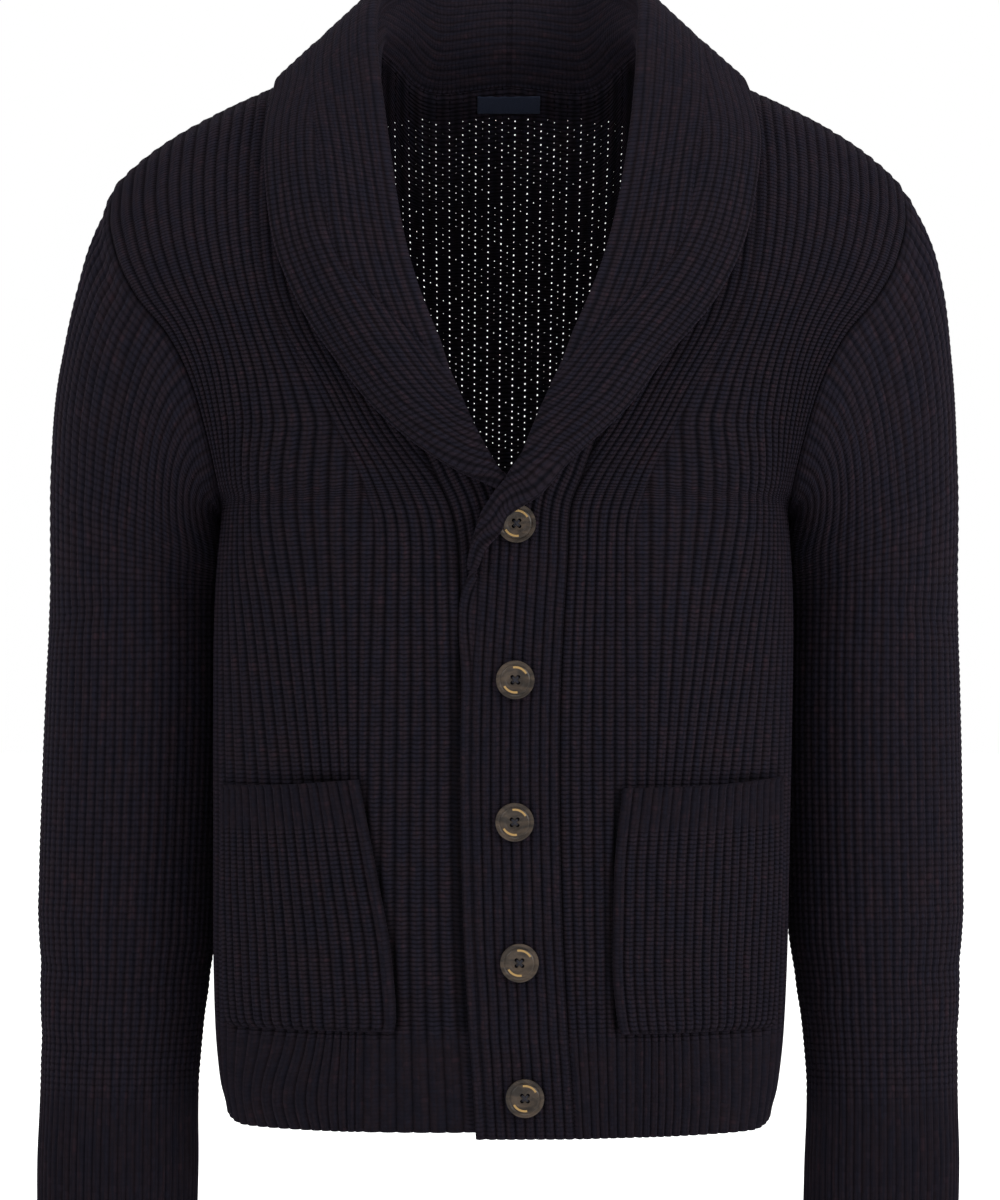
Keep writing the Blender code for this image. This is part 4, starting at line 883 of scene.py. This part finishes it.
def section_line(section):
    """Line across band or collar, seam to fold to free edge, in two even parts."""
    row, seam, fold, edge, rim, into, folded = section
    if not folded:
        turn = edge + (seam - edge) * TURN_SHARE
        return np.vstack([along([seam, turn], STAND_POINTS)[:-1], along([turn, edge], FALL_POINTS)])
    up = unit(fold - (seam + edge) / 2)
    out = square_to(edge - seam, up)
    out = unit(out * 0.5 + square_to(rim, up))
    fall = np.linalg.norm(edge - fold)
    reach = min(FOLD_REACH, fall * FOLD_SHARES[0])
    half = min(FOLD_HALF, fall * FOLD_SHARES[1])
    inside, outside = fold - up * reach - out * half, fold - up * reach + out * half
    rise = inside - seam
    lower = seam + unit(into + unit(rise)) * np.linalg.norm(rise) * STAND_BOW
    flat = 1 - FALL_CALM * ramp(row, *FLAT_FALL)
    bulge = (edge + outside) / 2 + out * FALL_BULGE * flat * min(fall / FALL_FULL, 1)
    fine = spline([seam, lower, inside, fold, outside, bulge, edge])
    split = 3 * SPLINE_STEPS
    return np.vstack([along(fine[:split + 1], STAND_POINTS)[:-1], along(fine[split:], FALL_POINTS)])


def collar_section(row, side):
    """Section of one half of band and collar at a row."""
    point, rim, into = collar_seam(row, side)
    if row == RIDGE:
        rim = unit(rim * (1, 0, 1))
    lift, face, columns, key = COLLAR_LIFT, -1, COLLAR[side], row
    if row <= columns["row"][0]:
        start, end = BAND_RISE_ROWS
        z = centre_height(row) + BAND_RISE * max(min((row - start) / (end - start), 1), 0)
        edge = fold = on_torso(neck_seam(row, side) - 2 * BAND_HALF, z, -1, side * LAYER)
    else:
        if row > RIDGE:
            face, columns, key = 1, COLLAR_BACK, BACK_NECK_HALF * (RIDGE + 1 - row)
        elif side > 0:
            lift += LAYER * max(UNDERARM + 2 - row, 0) / 2
        *fold, edge_x, edge_z = (read(columns, key, name) for name in COLLAR_NAMES.split())
        fold = np.array(fold)
        edge = on_torso(edge_x, edge_z, face, lift) if row > COLLAR_FLAT[side] else fold
    return Section(row, point + into * SEWN, fold, edge, rim, into, row > COLLAR_FLAT[side])


def across_at(lines, lengths, at):
    """Points of each line at distances along it."""
    return np.array([np.stack([np.interp(np.clip(places, 0, length[-1]), length, c)
                               for c in line.T], axis=1)
                     for line, length, places in zip(lines, lengths, at)])


def collar(side, name, look):
    """One half of band and collar: ribs beside the seam, the roll and the free edge."""
    stations = SEAM_ROWS[side] + tuple(RIDGE + 1 - s / BACK_NECK_HALF for s in BACK_STATIONS)
    sections = [collar_section(row, side) for row in stations]
    lines = np.array([section_line(section) for section in sections])
    steps = np.linalg.norm(np.diff(lines, axis=0), axis=2)
    run = np.concatenate([[0], np.cumsum(steps[:, :STAND_POINTS].mean(axis=1))])
    place = np.linspace(0, run[-1], int(round(run[-1] / COLLAR_STEP)) + 1)
    row = np.interp(place, run, stations)[:, None]
    lines = refine(lines, run, place)
    for j in range(len(place)):
        point, _, into = collar_seam(row[j, 0], side)
        pull = point + into * SEWN - lines[j, 0]
        lines[j, :SEAM_PULL] += pull * (1 - np.arange(SEAM_PULL) / SEAM_PULL)[:, None]
    away = ease(np.arange(lines.shape[1]) / SMOOTH_POINTS) * ramp(row, *SMOOTH_ROWS)
    lines = lines + (soften(lines, COLLAR_ROUNDS) - lines) * away[..., None]
    lengths = np.cumsum(np.linalg.norm(np.diff(lines, axis=1), axis=2), axis=1)
    lengths = np.concatenate([np.zeros((len(place), 1)), lengths], axis=1)
    total, fold = lengths[:, -1:], lengths[:, STAND_POINTS - 1:STAND_POINTS]
    opened = ramp(row, *MITRE_ROWS)
    flat_end = np.minimum(fold, total - EDGE_RIBS * COLLAR_PITCH)
    low = flat_end - ROLL_STAND * opened
    high = flat_end + np.minimum(ROLL_FALL, total - fold - ROLL_SPARED) * opened
    stand, roll, rest = (
        ribs(-math.ceil(before / COLLAR_PITCH), math.ceil(after / COLLAR_PITCH), FIRM_STOPS)
        for before, after in ((0, low.max()), (ROLL_STAND, ROLL_FALL), ((total - high).max(), 0)))
    d_stand, d_roll, d_rest = (start + part * COLLAR_PITCH for start, part
                               in ((0 * fold, stand), (fold, roll), (total, rest)))
    at = np.concatenate([np.minimum(d_stand, low), np.clip(d_roll, low, high),
                         np.maximum(d_rest, high)], axis=1)
    sink = np.concatenate([ease((low - d_stand) / SEAM_FADE),
                           ease((d_roll - low) / SEAM_FADE) * ease((high - d_roll) / SEAM_FADE),
                           ease((d_rest - high) / SEAM_FADE)], axis=1)
    u = np.concatenate([stand, ROLL_COUNT + roll, REST_COUNT + rest])
    points = across_at(lines, lengths, at)
    across = across_at(lines, lengths, at + 0.002) - across_at(lines, lengths, at - 0.002)
    normals = unit(np.cross(np.gradient(points, axis=0), across))
    if normals[3, 3, 1] > 0:
        normals = -normals
    points[-1, :, 0] = SEWN
    normals[-1] = unit(normals[-1] * (0, 1, 1))
    sink[-1] *= END_SINK
    rims = normals.copy()
    rims[:, 0] = refine(np.array([section.rim for section in sections]), run, place)
    ends = ease(at / SEAM_FADE) * ease((total - at) / EDGE_ROUND) * ramp(row, *INSIDE_ROWS)
    stand_calm = ramp(row, *STAND_CALM_ROWS)
    under = WALL + (rib_wall(u + 0.5) - VALLEY) * sink * ends * (1 - STAND_FLAT * stand_calm)
    sewn = np.maximum(groove(at), groove(place[-1] - place)[:, None])
    v = (place / COURSE)[:, None]
    band_calm = BAND_CALM * (1 - ramp(row, *BAND_CALM_ROWS))
    outer = points + normals * (rib_wall(u, sink) - sewn)[..., None]
    inner = points - rims * under[..., None]
    # Painted shade in the seam grooves, carried below nought in the plain shares.
    return cloth(name, (outer, u, v, band_calm - sewn / GROOVE),
                 (inner, u + 0.5, v, STAND_PLAIN * stand_calm - sewn / GROOVE),
                 look, side, one_side=True)


# ---------------- pockets
def pocket(side, name, look):
    """A patch pocket over a front, made from the front's own surface."""
    top, bottom = POCKET["z"][-1], POCKET["z"][0]
    peak = top + max(POCKET_RISE[side])
    count = int(round((peak - bottom) / COURSE))
    heights = np.linspace(bottom, top, count + 1)
    near, far = (np.array([read(POCKET, z, SIDE_NAMES[side] + edge) for z in heights])[:, None]
                 for edge in ("_near", "_far"))
    u = ribs(0, POCKET_RIBS[side])
    across = u / POCKET_RIBS[side]
    s = near + (far - near) * across
    up = (heights - bottom)[:, None]
    raised = heights[:, None] + pocket_rise(across, side) * (up / (top - bottom)) ** 2
    steps = np.linspace(bottom, peak, 40)
    rows = np.interp(raised, steps, [row_at(0.0, z, -1)[0] for z in steps])
    seam = np.array([neck_seam(row, side) for row in rows[:, 0]])[:, None]
    points, normals = torso(s, rows, -1)
    out = layer(s, rows, seam, side) + folds(points, FRONT_FOLDS) + POCKET_LIFT
    points = points + normals * out[..., None]
    below_top = up - top + bottom
    sink = ease((far - s) / SEAM_FADE + POCKET_SEWN[0]) * ease(up / SEAM_FADE + POCKET_SEWN[1])
    rolled = np.where(u < 1, np.sin(math.pi * np.clip(u, 0, 1)), 0) * ease(up / POCKET_ROLL_START)
    bound = ease((below_top + POCKET_BOUND) / POCKET_BOUND * 2)
    plain = ease((below_top + POCKET_BAND) / WELT_FADE) + POCKET_ROLL_PLAIN * (u < 0.99)
    # Painted shade along the pocket's foot, carried below nought in plain.
    plain = np.minimum(plain, 1) - POCKET_FOOT * bell(up, POCKET_FOOT_HALF)
    v = np.arange(count + 1)[:, None]
    out = POCKET_WALL + rib_wall(u, sink) + POCKET_ROLL * np.maximum(rolled, bound)
    outer = points + normals * out[..., None]
    return cloth(name, (outer, u, v, plain), thinned(points, u, v, 0 * plain, 3, 3), look, side)


# ---------------- trims
BUTTON_RIM = 0.0018  # width of a button's raised rim
BUTTON_GROOVE = 0.0009  # width and depth of the groove inside it
BUTTON_ARC = 0.0013  # width of the ring inside that groove that carries the painted glint arcs
BUTTON_ROUND = 0.0006  # width of the flat on its edge
BUTTON_FACE = (  # width and depth of each ring of its face, from the edge in
    (BUTTON_ROUND, 0), (BUTTON_RIM - BUTTON_ROUND, -0.0001), (BUTTON_GROOVE, -BUTTON_GROOVE),
    (BUTTON_GROOVE, BUTTON_GROOVE * 0.6), (BUTTON_ARC, -0.0001),
    (0.0030 - BUTTON_ARC, -0.0007), (0.0004, -0.0001),
)
BUTTON_BACK = ((0.0012, 0),)
BUTTON_HOLE, BUTTON_HOLE_OUT, HOLE_TURN = 0.0012, 0.0027, 45
BUTTON_SIDES, HOLE_SIDES, THREAD_SIDES, THREAD_CUTS = 72, 20, 8, 9
WORN, WORN_ANGLE, SMOOTH_ANGLE = 0.00022, 28, 35  # bevel of the edges, and smooth shading
ARC_TURN, ARC_HALF = 65, 34  # middle and half length of the painted glint arcs, in degrees
THREAD = 0.00034  # radius of the sewing thread
THREAD_SINK = 0.0016  # how far its ends go down into the holes
THREAD_RISE = (-0.0002, 0.0002)  # how far each pair lies above the button's face


def inset_face(disc, up, rings):
    """Inset the upper or lower face of a disc, ring after ring."""
    bpy.ops.object.mode_set(mode="OBJECT")
    for face in disc.data.polygons:
        face.select = face.normal.z * up > 0.9
    bpy.ops.object.mode_set(mode="EDIT")
    for wide, depth in rings:
        bpy.ops.mesh.inset(thickness=wide, depth=depth)


def apply_last(piece):
    """Apply a piece's last modifier."""
    bpy.context.view_layer.objects.active = piece
    bpy.ops.object.modifier_apply(modifier=piece.modifiers[-1].name)


def turned(x, y, z, degrees):
    """A point turned about the z axis."""
    cos, sin = math.cos(math.radians(degrees)), math.sin(math.radians(degrees))
    return x * cos - y * sin, x * sin + y * cos, z


def button_disc(radius, thick):
    """Horn disc with a grooved rim, four holes and the places of its painted glint arcs."""
    bpy.ops.object.select_all(action="DESELECT")
    bpy.ops.mesh.primitive_cylinder_add(vertices=BUTTON_SIDES, radius=radius, depth=thick)
    disc = bpy.context.object
    bpy.ops.object.mode_set(mode="EDIT")
    bpy.ops.mesh.select_mode(type="FACE")
    inset_face(disc, 1, BUTTON_FACE)
    inset_face(disc, -1, BUTTON_BACK)
    bpy.ops.object.mode_set(mode="OBJECT")
    for n in range(4):
        spot = turned(BUTTON_HOLE_OUT, 0, 0, HOLE_TURN + 90 * n)
        bpy.ops.mesh.primitive_cylinder_add(vertices=HOLE_SIDES, radius=BUTTON_HOLE, depth=0.02,
                                            location=spot)
        cutter = bpy.context.object
        cut = disc.modifiers.new("hole", "BOOLEAN")
        cut.operation, cut.object = "DIFFERENCE", cutter
        apply_last(disc)
        bpy.data.objects.remove(cutter)
    bevel = disc.modifiers.new("worn edges", "BEVEL")
    bevel.width, bevel.segments, bevel.angle_limit = WORN, 2, math.radians(WORN_ANGLE)
    apply_last(disc)
    disc.select_set(True)
    bpy.ops.object.shade_smooth_by_angle(angle=math.radians(SMOOTH_ANGLE))
    inner = radius - BUTTON_RIM - 2 * BUTTON_GROOVE
    # Painted glint: two opposite arcs of the ring inside the groove, where light catches it.
    gilt = []
    for face in disc.data.polygons:
        x, y, z = face.center
        turn = abs((math.degrees(math.atan2(y, x)) - ARC_TURN) % 180 - 90)
        near = inner - BUTTON_ARC < math.hypot(x, y) < inner
        gilt.append(float(z > 0 and near and turn > 90 - ARC_HALF))
    disc.data.attributes.new("gilt", "FLOAT", "FACE").data.foreach_set("value", gilt)
    return disc


def button_thread(thick):
    """Two crossed double strands from hole to hole."""
    strands = []
    for n in range(4):
        beside = (n // 2 - 0.5) * 2.1 * THREAD
        bpy.ops.mesh.primitive_cylinder_add(vertices=THREAD_SIDES, radius=THREAD,
                                            depth=2 * BUTTON_HOLE_OUT)
        strand = bpy.context.object
        bpy.ops.object.mode_set(mode="EDIT")
        bpy.ops.mesh.subdivide(number_cuts=THREAD_CUTS)
        bpy.ops.object.mode_set(mode="OBJECT")
        for vertex in strand.data.vertices:
            x, y, z = vertex.co
            dip = THREAD_SINK * abs(z / BUTTON_HOLE_OUT) ** 4
            rise = thick / 2 + THREAD_RISE[n % 2] - dip
            vertex.co = turned(z, y + beside, x + rise, HOLE_TURN + 90 * (n % 2))
        strands.append(strand)
    bpy.ops.object.select_all(action="DESELECT")
    for strand in strands:
        strand.select_set(True)
    bpy.context.view_layer.objects.active = strands[0]
    bpy.ops.object.join()
    return bpy.context.object


def button(node, look, thread_look):
    """A four-hole horn button sewn on by crossed threads."""
    low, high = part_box(node)
    thick = high.y - low.y
    disc, sewing = button_disc((high.x - low.x) / 2, thick), button_thread(thick)
    place = Matrix.Translation((low + high) / 2) @ Matrix.Rotation(math.radians(90), 4, "X")
    for piece, name, finish in ((disc, "_horn", look), (sewing, "_thread", thread_look)):
        piece.name = node + name
        piece.data.transform(place)
        piece.matrix_world = Matrix.Identity(4)
        tidy(piece.data, finish)
        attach(piece, "root")
    sewing.data.shade_smooth()
    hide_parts(node)


def label(look):
    """A bare woven label inside the back neck."""
    low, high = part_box("neck_label")
    wide, middle = (high.x - low.x) / 2 - LABEL_EDGE, (high.x + low.x) / 2
    places = np.linspace(-1, 1, LABEL_COLUMNS) * wide + middle
    drops = np.linspace(low.z + LABEL_HEM, high.z - LABEL_HEM, LABEL_ROWS)
    ripple = LABEL_WAVE * (np.cos(LABEL_WAVES * math.pi * np.linspace(0, 1, LABEL_COLUMNS))
                           * np.abs(np.linspace(-1, 1, LABEL_ROWS))[:, None])
    u, v = np.arange(LABEL_COLUMNS)[None, :] * 2.0, np.arange(LABEL_ROWS)[:, None] * 2.0
    grids = [np.array([[on_torso(x, drop, 1, -lift) for x in places] for drop in drops])
             - ripple[..., None] * (0, 1, 0) for lift in (LABEL_LIFT + LABEL_THICK, LABEL_LIFT)]
    piece = cloth("neck_label_woven", (grids[0], u, v, 0.0), (grids[1], u, v, 0.0), look)
    piece.data.transform(Matrix.Translation((-LEAN * (low.z - LEAN_HEIGHT), 0, 0)))
    return piece


# ---------------- looks
def feed(tree, socket, value):
    """Give a socket a number, a colour or what another socket gives."""
    if isinstance(value, Term):
        tree.links.new(value.socket, socket)
    else:
        socket.default_value = (*value, 1) if isinstance(value, tuple) else value


class Term:
    """What a node's output gives, for sums written as usual."""

    def __init__(self, tree, socket):
        self.tree, self.socket = tree, socket

    def sum(self, operation, *others):
        """A Math node on it and others."""
        values = dict(enumerate((self, *others)))
        return node_of(self.tree, "Math", values, operation=operation)

    def __rsub__(self, first):
        return node_of(self.tree, "Math", {0: first, 1: self}, operation="SUBTRACT")

    def step(self, start, end, low=0.0, high=1.0):
        """A smooth step between two of its values."""
        return node_of(self.tree, "MapRange", {"Value": self, "From Min": start, "From Max": end,
                                               "To Min": low, "To Max": high},
                       "Result", interpolation_type="SMOOTHSTEP")


def node_of(tree, kind, inputs, output=0, **settings):
    """A new node's output, its inputs fed by name or number."""
    node = tree.nodes.new("ShaderNode" + kind)
    for name, value in settings.items():
        setattr(node, name, value)
    for name, value in inputs.items():
        feed(tree, node.inputs[name], value)
    return Term(tree, node.outputs[output])


SUMS = {"__add__": "ADD", "__sub__": "SUBTRACT", "__mul__": "MULTIPLY", "__pow__": "POWER",
        "__abs__": "ABSOLUTE", "part": "FRACT", "whole": "FLOOR"}
for method, operation in SUMS.items():
    setattr(Term, method, partialmethod(Term.sum, operation))


class Finish:
    """A material in the making, with its tree and its shader."""

    def __init__(self, name, roughness, sheen=0.0, sheen_colour=(1, 1, 1), gloss=0.5):
        self.look = bpy.data.materials.new(name)
        self.look.use_nodes = True
        self.tree = self.look.node_tree
        self.feed({"Roughness": roughness, "Specular IOR Level": gloss, "Sheen Weight": sheen,
                   "Sheen Roughness": 0.4, "Sheen Tint": sheen_colour})
        self.body = self.node("TexCoord", {}, "Object")

    def feed(self, values):
        """Set or link sockets of the shader."""
        for name, value in values.items():
            feed(self.tree, self.tree.nodes["Principled BSDF"].inputs[name], value)

    def node(self, kind, inputs, output=0, **settings):
        """A new node of its tree."""
        return node_of(self.tree, kind, inputs, output, **settings)

    def noise(self, vector, scale=1.0, **settings):
        """Soft random values."""
        return self.node("TexNoise", {"Vector": vector, "Scale": scale, **settings}, "Fac")

    def tint(self, share, first, second, **settings):
        """A colour between two, by a term."""
        return self.node("Mix", {0: share, 6: first, 7: second}, 2, data_type="RGBA", **settings)

    def vector(self, *values):
        """A vector of two or three terms."""
        return self.node("CombineXYZ", dict(enumerate(values)))

    def parts(self, vector):
        """The three parts of a vector."""
        first = self.node("SeparateXYZ", {0: vector})
        return [Term(self.tree, socket) for socket in first.socket.node.outputs]

    def bump(self, height, strength, distance):
        """Give the shader a relief."""
        self.feed({"Normal": self.node("Bump", {"Height": height, "Strength": strength,
                                                "Distance": distance})})


HOLE_STEP = 0.0044  # height between two gaps of the back's thin columns
HOLE_APART = 0.0045  # how far apart two of those columns are taken to be
HOLE_RADIUS = 0.00062
NAVY = (0.0064, 0.0057, 0.0094)
PLUM = (0.0094, 0.0066, 0.0092)
BLUE = (0.0072, 0.0078, 0.0136)
ROSE = (0.0190, 0.0088, 0.0120)


def pinholes(make, u, plain):
    """Where cloth is left in the back, whose thin columns between ribs have gaps."""
    loop = make.parts(make.body)[2] * (1 / HOLE_STEP)
    twice = u * 2.0 + 0.5
    rib = twice.whole()
    loop = loop + rib * 0.37
    strong = rib.sum("PINGPONG", 1.0)
    luck = make.node("TexWhiteNoise", {"Vector": make.vector(rib, loop.whole())}, "Value",
                     noise_dimensions="3D")
    drop = loop.part() * HOLE_STEP + -HOLE_STEP / 2
    over = twice.part() * HOLE_APART + -HOLE_APART / 2
    reach = abs(drop) ** 2.0 + (abs(over) * 1.3) ** 2.0
    size = luck * HOLE_RADIUS ** 2 + -0.35 * HOLE_RADIUS ** 2
    size = strong * (0.85 * HOLE_RADIUS ** 2) + size
    return reach.sum("GREATER_THAN", size * (1.0 - plain))


def rib_knit(name, slant, grid, valley, holes=False):
    """Heathered wool knit that follows a piece's ribs and courses.

    slant turns the stitches' legs, grid is how strongly courses cut across the ribs, in relief
    and in painted shade, valley how much light the painted shade between the ribs leaves.
    Shade is also painted into seam grooves and into the dents beside pocket and band.
    """
    make = Finish(name, 0.95, 0.02, (0.60, 0.45, 0.70), 0.03)
    u, v, _ = make.parts(make.node("UVMap", {}, uv_map="knit"))
    welt = make.node("Attribute", {}, "Fac", attribute_name="welt")
    # seam is the painted shade in seam grooves and in the dents beside pocket and band; plain is
    # the share of plain welt.
    seam, plain = (welt * -1.0).sum("MAXIMUM", 0.0), welt.sum("MAXIMUM", 0.0)

    side = abs(u.part() * 2.0 + -1.0)
    course = v + side * -slant + make.noise(make.body, 220.0, Detail=1.0) * 0.35
    phase = abs(course.part() * 2.0 + -1.0)
    lump = (1.0 - phase ** 2.6) * (plain * -0.75 + 1.0)
    fibre = make.noise(make.body, 1500.0, Detail=4.0, Roughness=0.7)
    make.bump(lump * grid + side.step(0.02, 0.30) * 0.22 + fibre * 0.35, 0.9, 0.0011)

    cell = make.vector((u * 2.0).whole(), course.whole())
    stitch = make.node("TexWhiteNoise", {"Vector": cell}, "Value", noise_dimensions="3D")
    streak = make.noise(make.vector(u * 1.7, v * 0.10), Detail=3.0, Roughness=0.65)
    fleck = make.noise(make.vector(u * 5.0, v * 0.9), Detail=2.0, Roughness=0.6)
    colour = make.tint(streak.step(0.35, 0.65), NAVY, PLUM)
    colour = make.tint(fleck.step(0.50, 0.72) * 0.5, colour, BLUE)
    rose = stitch.step(0.80, 1.0) * streak.step(0.42, 0.65)
    colour = make.tint(rose * 0.28, colour, ROSE)

    # Painted shade: darker towards the valleys between ribs, in the gaps between stitches and down
    # the middle of each rib between its legs.
    left, narrow = plain * 0.06 + valley, plain * 0.22 + 0.40
    valley_shade = 1.0 - (side - narrow).step(0.0, 0.50) * (1.0 - left)
    gap_shade = phase.step(0.30, 0.95) * (plain * -0.8 + 1.0)
    painted_shade_and_tone = valley_shade * (gap_shade * (-0.62 * grid) + 1.0) * side.step(0.0, 0.22, 0.80, 1.0)
    # Then a random tone for each stitch, the plain welt made darker as a whole, and painted shade
    # in seam grooves and dents.
    painted_shade_and_tone = painted_shade_and_tone * (stitch * 0.22 + 0.89) * (plain * -0.30 + 1.0) * (seam * -0.75 + 1.0)
    make.feed({"Base Color": make.tint(1.0, colour, make.vector(painted_shade_and_tone, painted_shade_and_tone, painted_shade_and_tone),
                                       blend_type="MULTIPLY")})
    if holes:
        make.feed({"Alpha": pinholes(make, u, plain)})
    return make.look


def horn(name):
    """Dark brown horn, glossy, with paler clouds and painted glint arcs."""
    make = Finish(name, 0.36, gloss=0.16)
    stretch = make.node("Mapping", {"Vector": make.body})
    stretch.socket.node.inputs["Scale"].default_value = (60, 60, 160)
    cloud = make.noise(stretch, Detail=5.0, Distortion=1.2)
    colour = make.tint(cloud.step(0.35, 0.70), (0.010, 0.007, 0.005), (0.036, 0.025, 0.017))
    # Painted glint: the arcs are tinted a bright gold brown, a reflection painted into the colour.
    gilt = make.node("Attribute", {}, "Fac", attribute_name="gilt")
    make.feed({"Base Color": make.tint(gilt, colour, (0.20, 0.125, 0.045)),
               "Coat Weight": 0.05, "Coat Roughness": 0.20})
    make.bump(make.noise(make.body, 900.0, Detail=2.0), 0.12, 0.0002)
    return make.look


def sewing_thread(name):
    """Twisted navy thread."""
    make = Finish(name, 0.7, 0.03, gloss=0.2)
    twist = make.noise(make.body, 2500.0, Detail=2.0)
    make.feed({"Base Color": make.tint(twist, (0.004, 0.004, 0.007), (0.012, 0.012, 0.018))})
    return make.look


def woven_label(name):
    """Close woven navy ribbon."""
    make = Finish(name, 0.75, 0.05, (0.6, 0.7, 1.0), 0.2)
    u, v, _ = make.parts(make.node("UVMap", {}, uv_map="knit"))
    weave = (u * (2 * math.pi)).sum("SINE") * (v * (2 * math.pi)).sum("SINE")
    make.feed({"Base Color": make.tint(weave * 0.5 + 0.5, (0.003, 0.005, 0.013),
                                       (0.008, 0.013, 0.034))})
    make.bump(weave, 1.0, 0.0002)
    return make.look


# ---------------- studio
EYE = (-0.004, -4.0, -0.342)  # camera, level with the middle of the garment
LENS = 36 * 3.875 / 0.768  # fills the frame's height with 768 mm at the front band
FLOOR = -0.80
LIGHTS = (  # name, place, height aimed at, size and power
    ("left softbox", (-2.2, -2.2, 1.2), -0.35, 1.6, 40),
    ("right softbox", (2.4, -2.0, 0.8), -0.35, 1.6, 84),
    ("top softbox", (0.0, -0.6, 2.2), -0.3, 1.4, 30),
)


def studio():
    """Pale floor, white surroundings, soft lights and the camera."""
    scene = bpy.context.scene
    scene.view_settings.view_transform = "Standard"
    bpy.ops.object.select_all(action="DESELECT")
    bpy.ops.mesh.primitive_plane_add(size=24, location=(0, 2, FLOOR))
    floor = bpy.context.object
    floor.name = "studio_floor"
    make = Finish("pale floor", 0.8)
    colour = make.tint(make.noise(make.body, 1.5, Detail=2.0), (0.86,) * 3, (0.90,) * 3)
    make.feed({"Base Color": colour, "Emission Color": colour, "Emission Strength": 0.45})
    floor.data.materials.append(make.look)
    scene.world = bpy.data.worlds.new("white surroundings")
    scene.world.use_nodes = True
    sky = scene.world.node_tree.nodes["Background"].inputs
    sky["Color"].default_value, sky["Strength"].default_value = (1, 1, 1, 1), 1.0
    for name, place, aim, size, power in LIGHTS:
        lamp = bpy.data.lights.new(name, "AREA")
        lamp.shape, lamp.size, lamp.energy = "SQUARE", size, power
        holder = bpy.data.objects.new(name, lamp)
        holder.location = place
        to = Vector((0, 0, aim)) - Vector(place)
        holder.rotation_euler = to.to_track_quat("-Z", "Y").to_euler()
        scene.collection.objects.link(holder)
    camera = bpy.data.objects.new("camera", bpy.data.cameras.new("camera"))
    camera.data.lens, camera.data.sensor_width = LENS, 36
    camera.location, camera.rotation_euler = EYE, (math.radians(90), 0, 0)
    scene.collection.objects.link(camera)
    scene.camera = camera


# ---------------- garment
BODY, OPEN = "navy rib knit", "navy rib knit, open"
ARM, NECKLINE = "navy sleeve knit", "navy collar knit"
KNITS = {BODY: (0.14, 0.85, 0.48), OPEN: (0.14, 0.85, 0.48, True),
         ARM: (0.10, 0.60, 0.62), NECKLINE: (0.14, 0.66, 0.42)}  # slant, grid, valley
# Each knitted piece: how it is made, its knit, its cut laid flat (width, length and area)
# and what it rests on.
CUTS = {
    "front_left": (front, 1, BODY, 0.26, 0.72, 0.150, ["back"]),
    "front_right": (front, -1, BODY, 0.26, 0.72, 0.150, ["back"]),
    "back": (back, 1, OPEN, 0.62, 0.72, 0.370, ["front_left"]),
    "sleeve_left": (sleeve, 1, ARM, 0.40, 0.62, 0.220, ["back"]),
    "sleeve_right": (sleeve, -1, ARM, 0.40, 0.62, 0.220, ["back"]),
    "collar_left": (collar, 1, NECKLINE, 0.20, 0.90, 0.100, ["front_left"]),
    "collar_right": (collar, -1, NECKLINE, 0.20, 0.90, 0.100, ["front_right"]),
    "pocket_left": (pocket, 1, BODY, 0.135, 0.162, 0.0215, ["front_left"]),
    "pocket_right": (pocket, -1, BODY, 0.130, 0.162, 0.0205, ["front_right"]),
}


def main():
    """Dress every node of the frame and set the studio round it."""
    knits = {name: rib_knit(name, *values) for name, values in KNITS.items()}
    pieces = {node: make(side, node + "_knit", knits[knit])
              for node, (make, side, knit, *_) in CUTS.items()}
    pieces["neck_label"] = label(woven_label("woven ribbon"))
    for node, piece in pieces.items():
        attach(piece, "root")
        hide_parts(node)
        "label" if node == "neck_label" else "knit"
    horn_look, thread_look = horn("dark horn"), sewing_thread("navy thread")
    for number in range(1, 6):
        button(f"button_{number}", horn_look, thread_look)
    studio()


main()
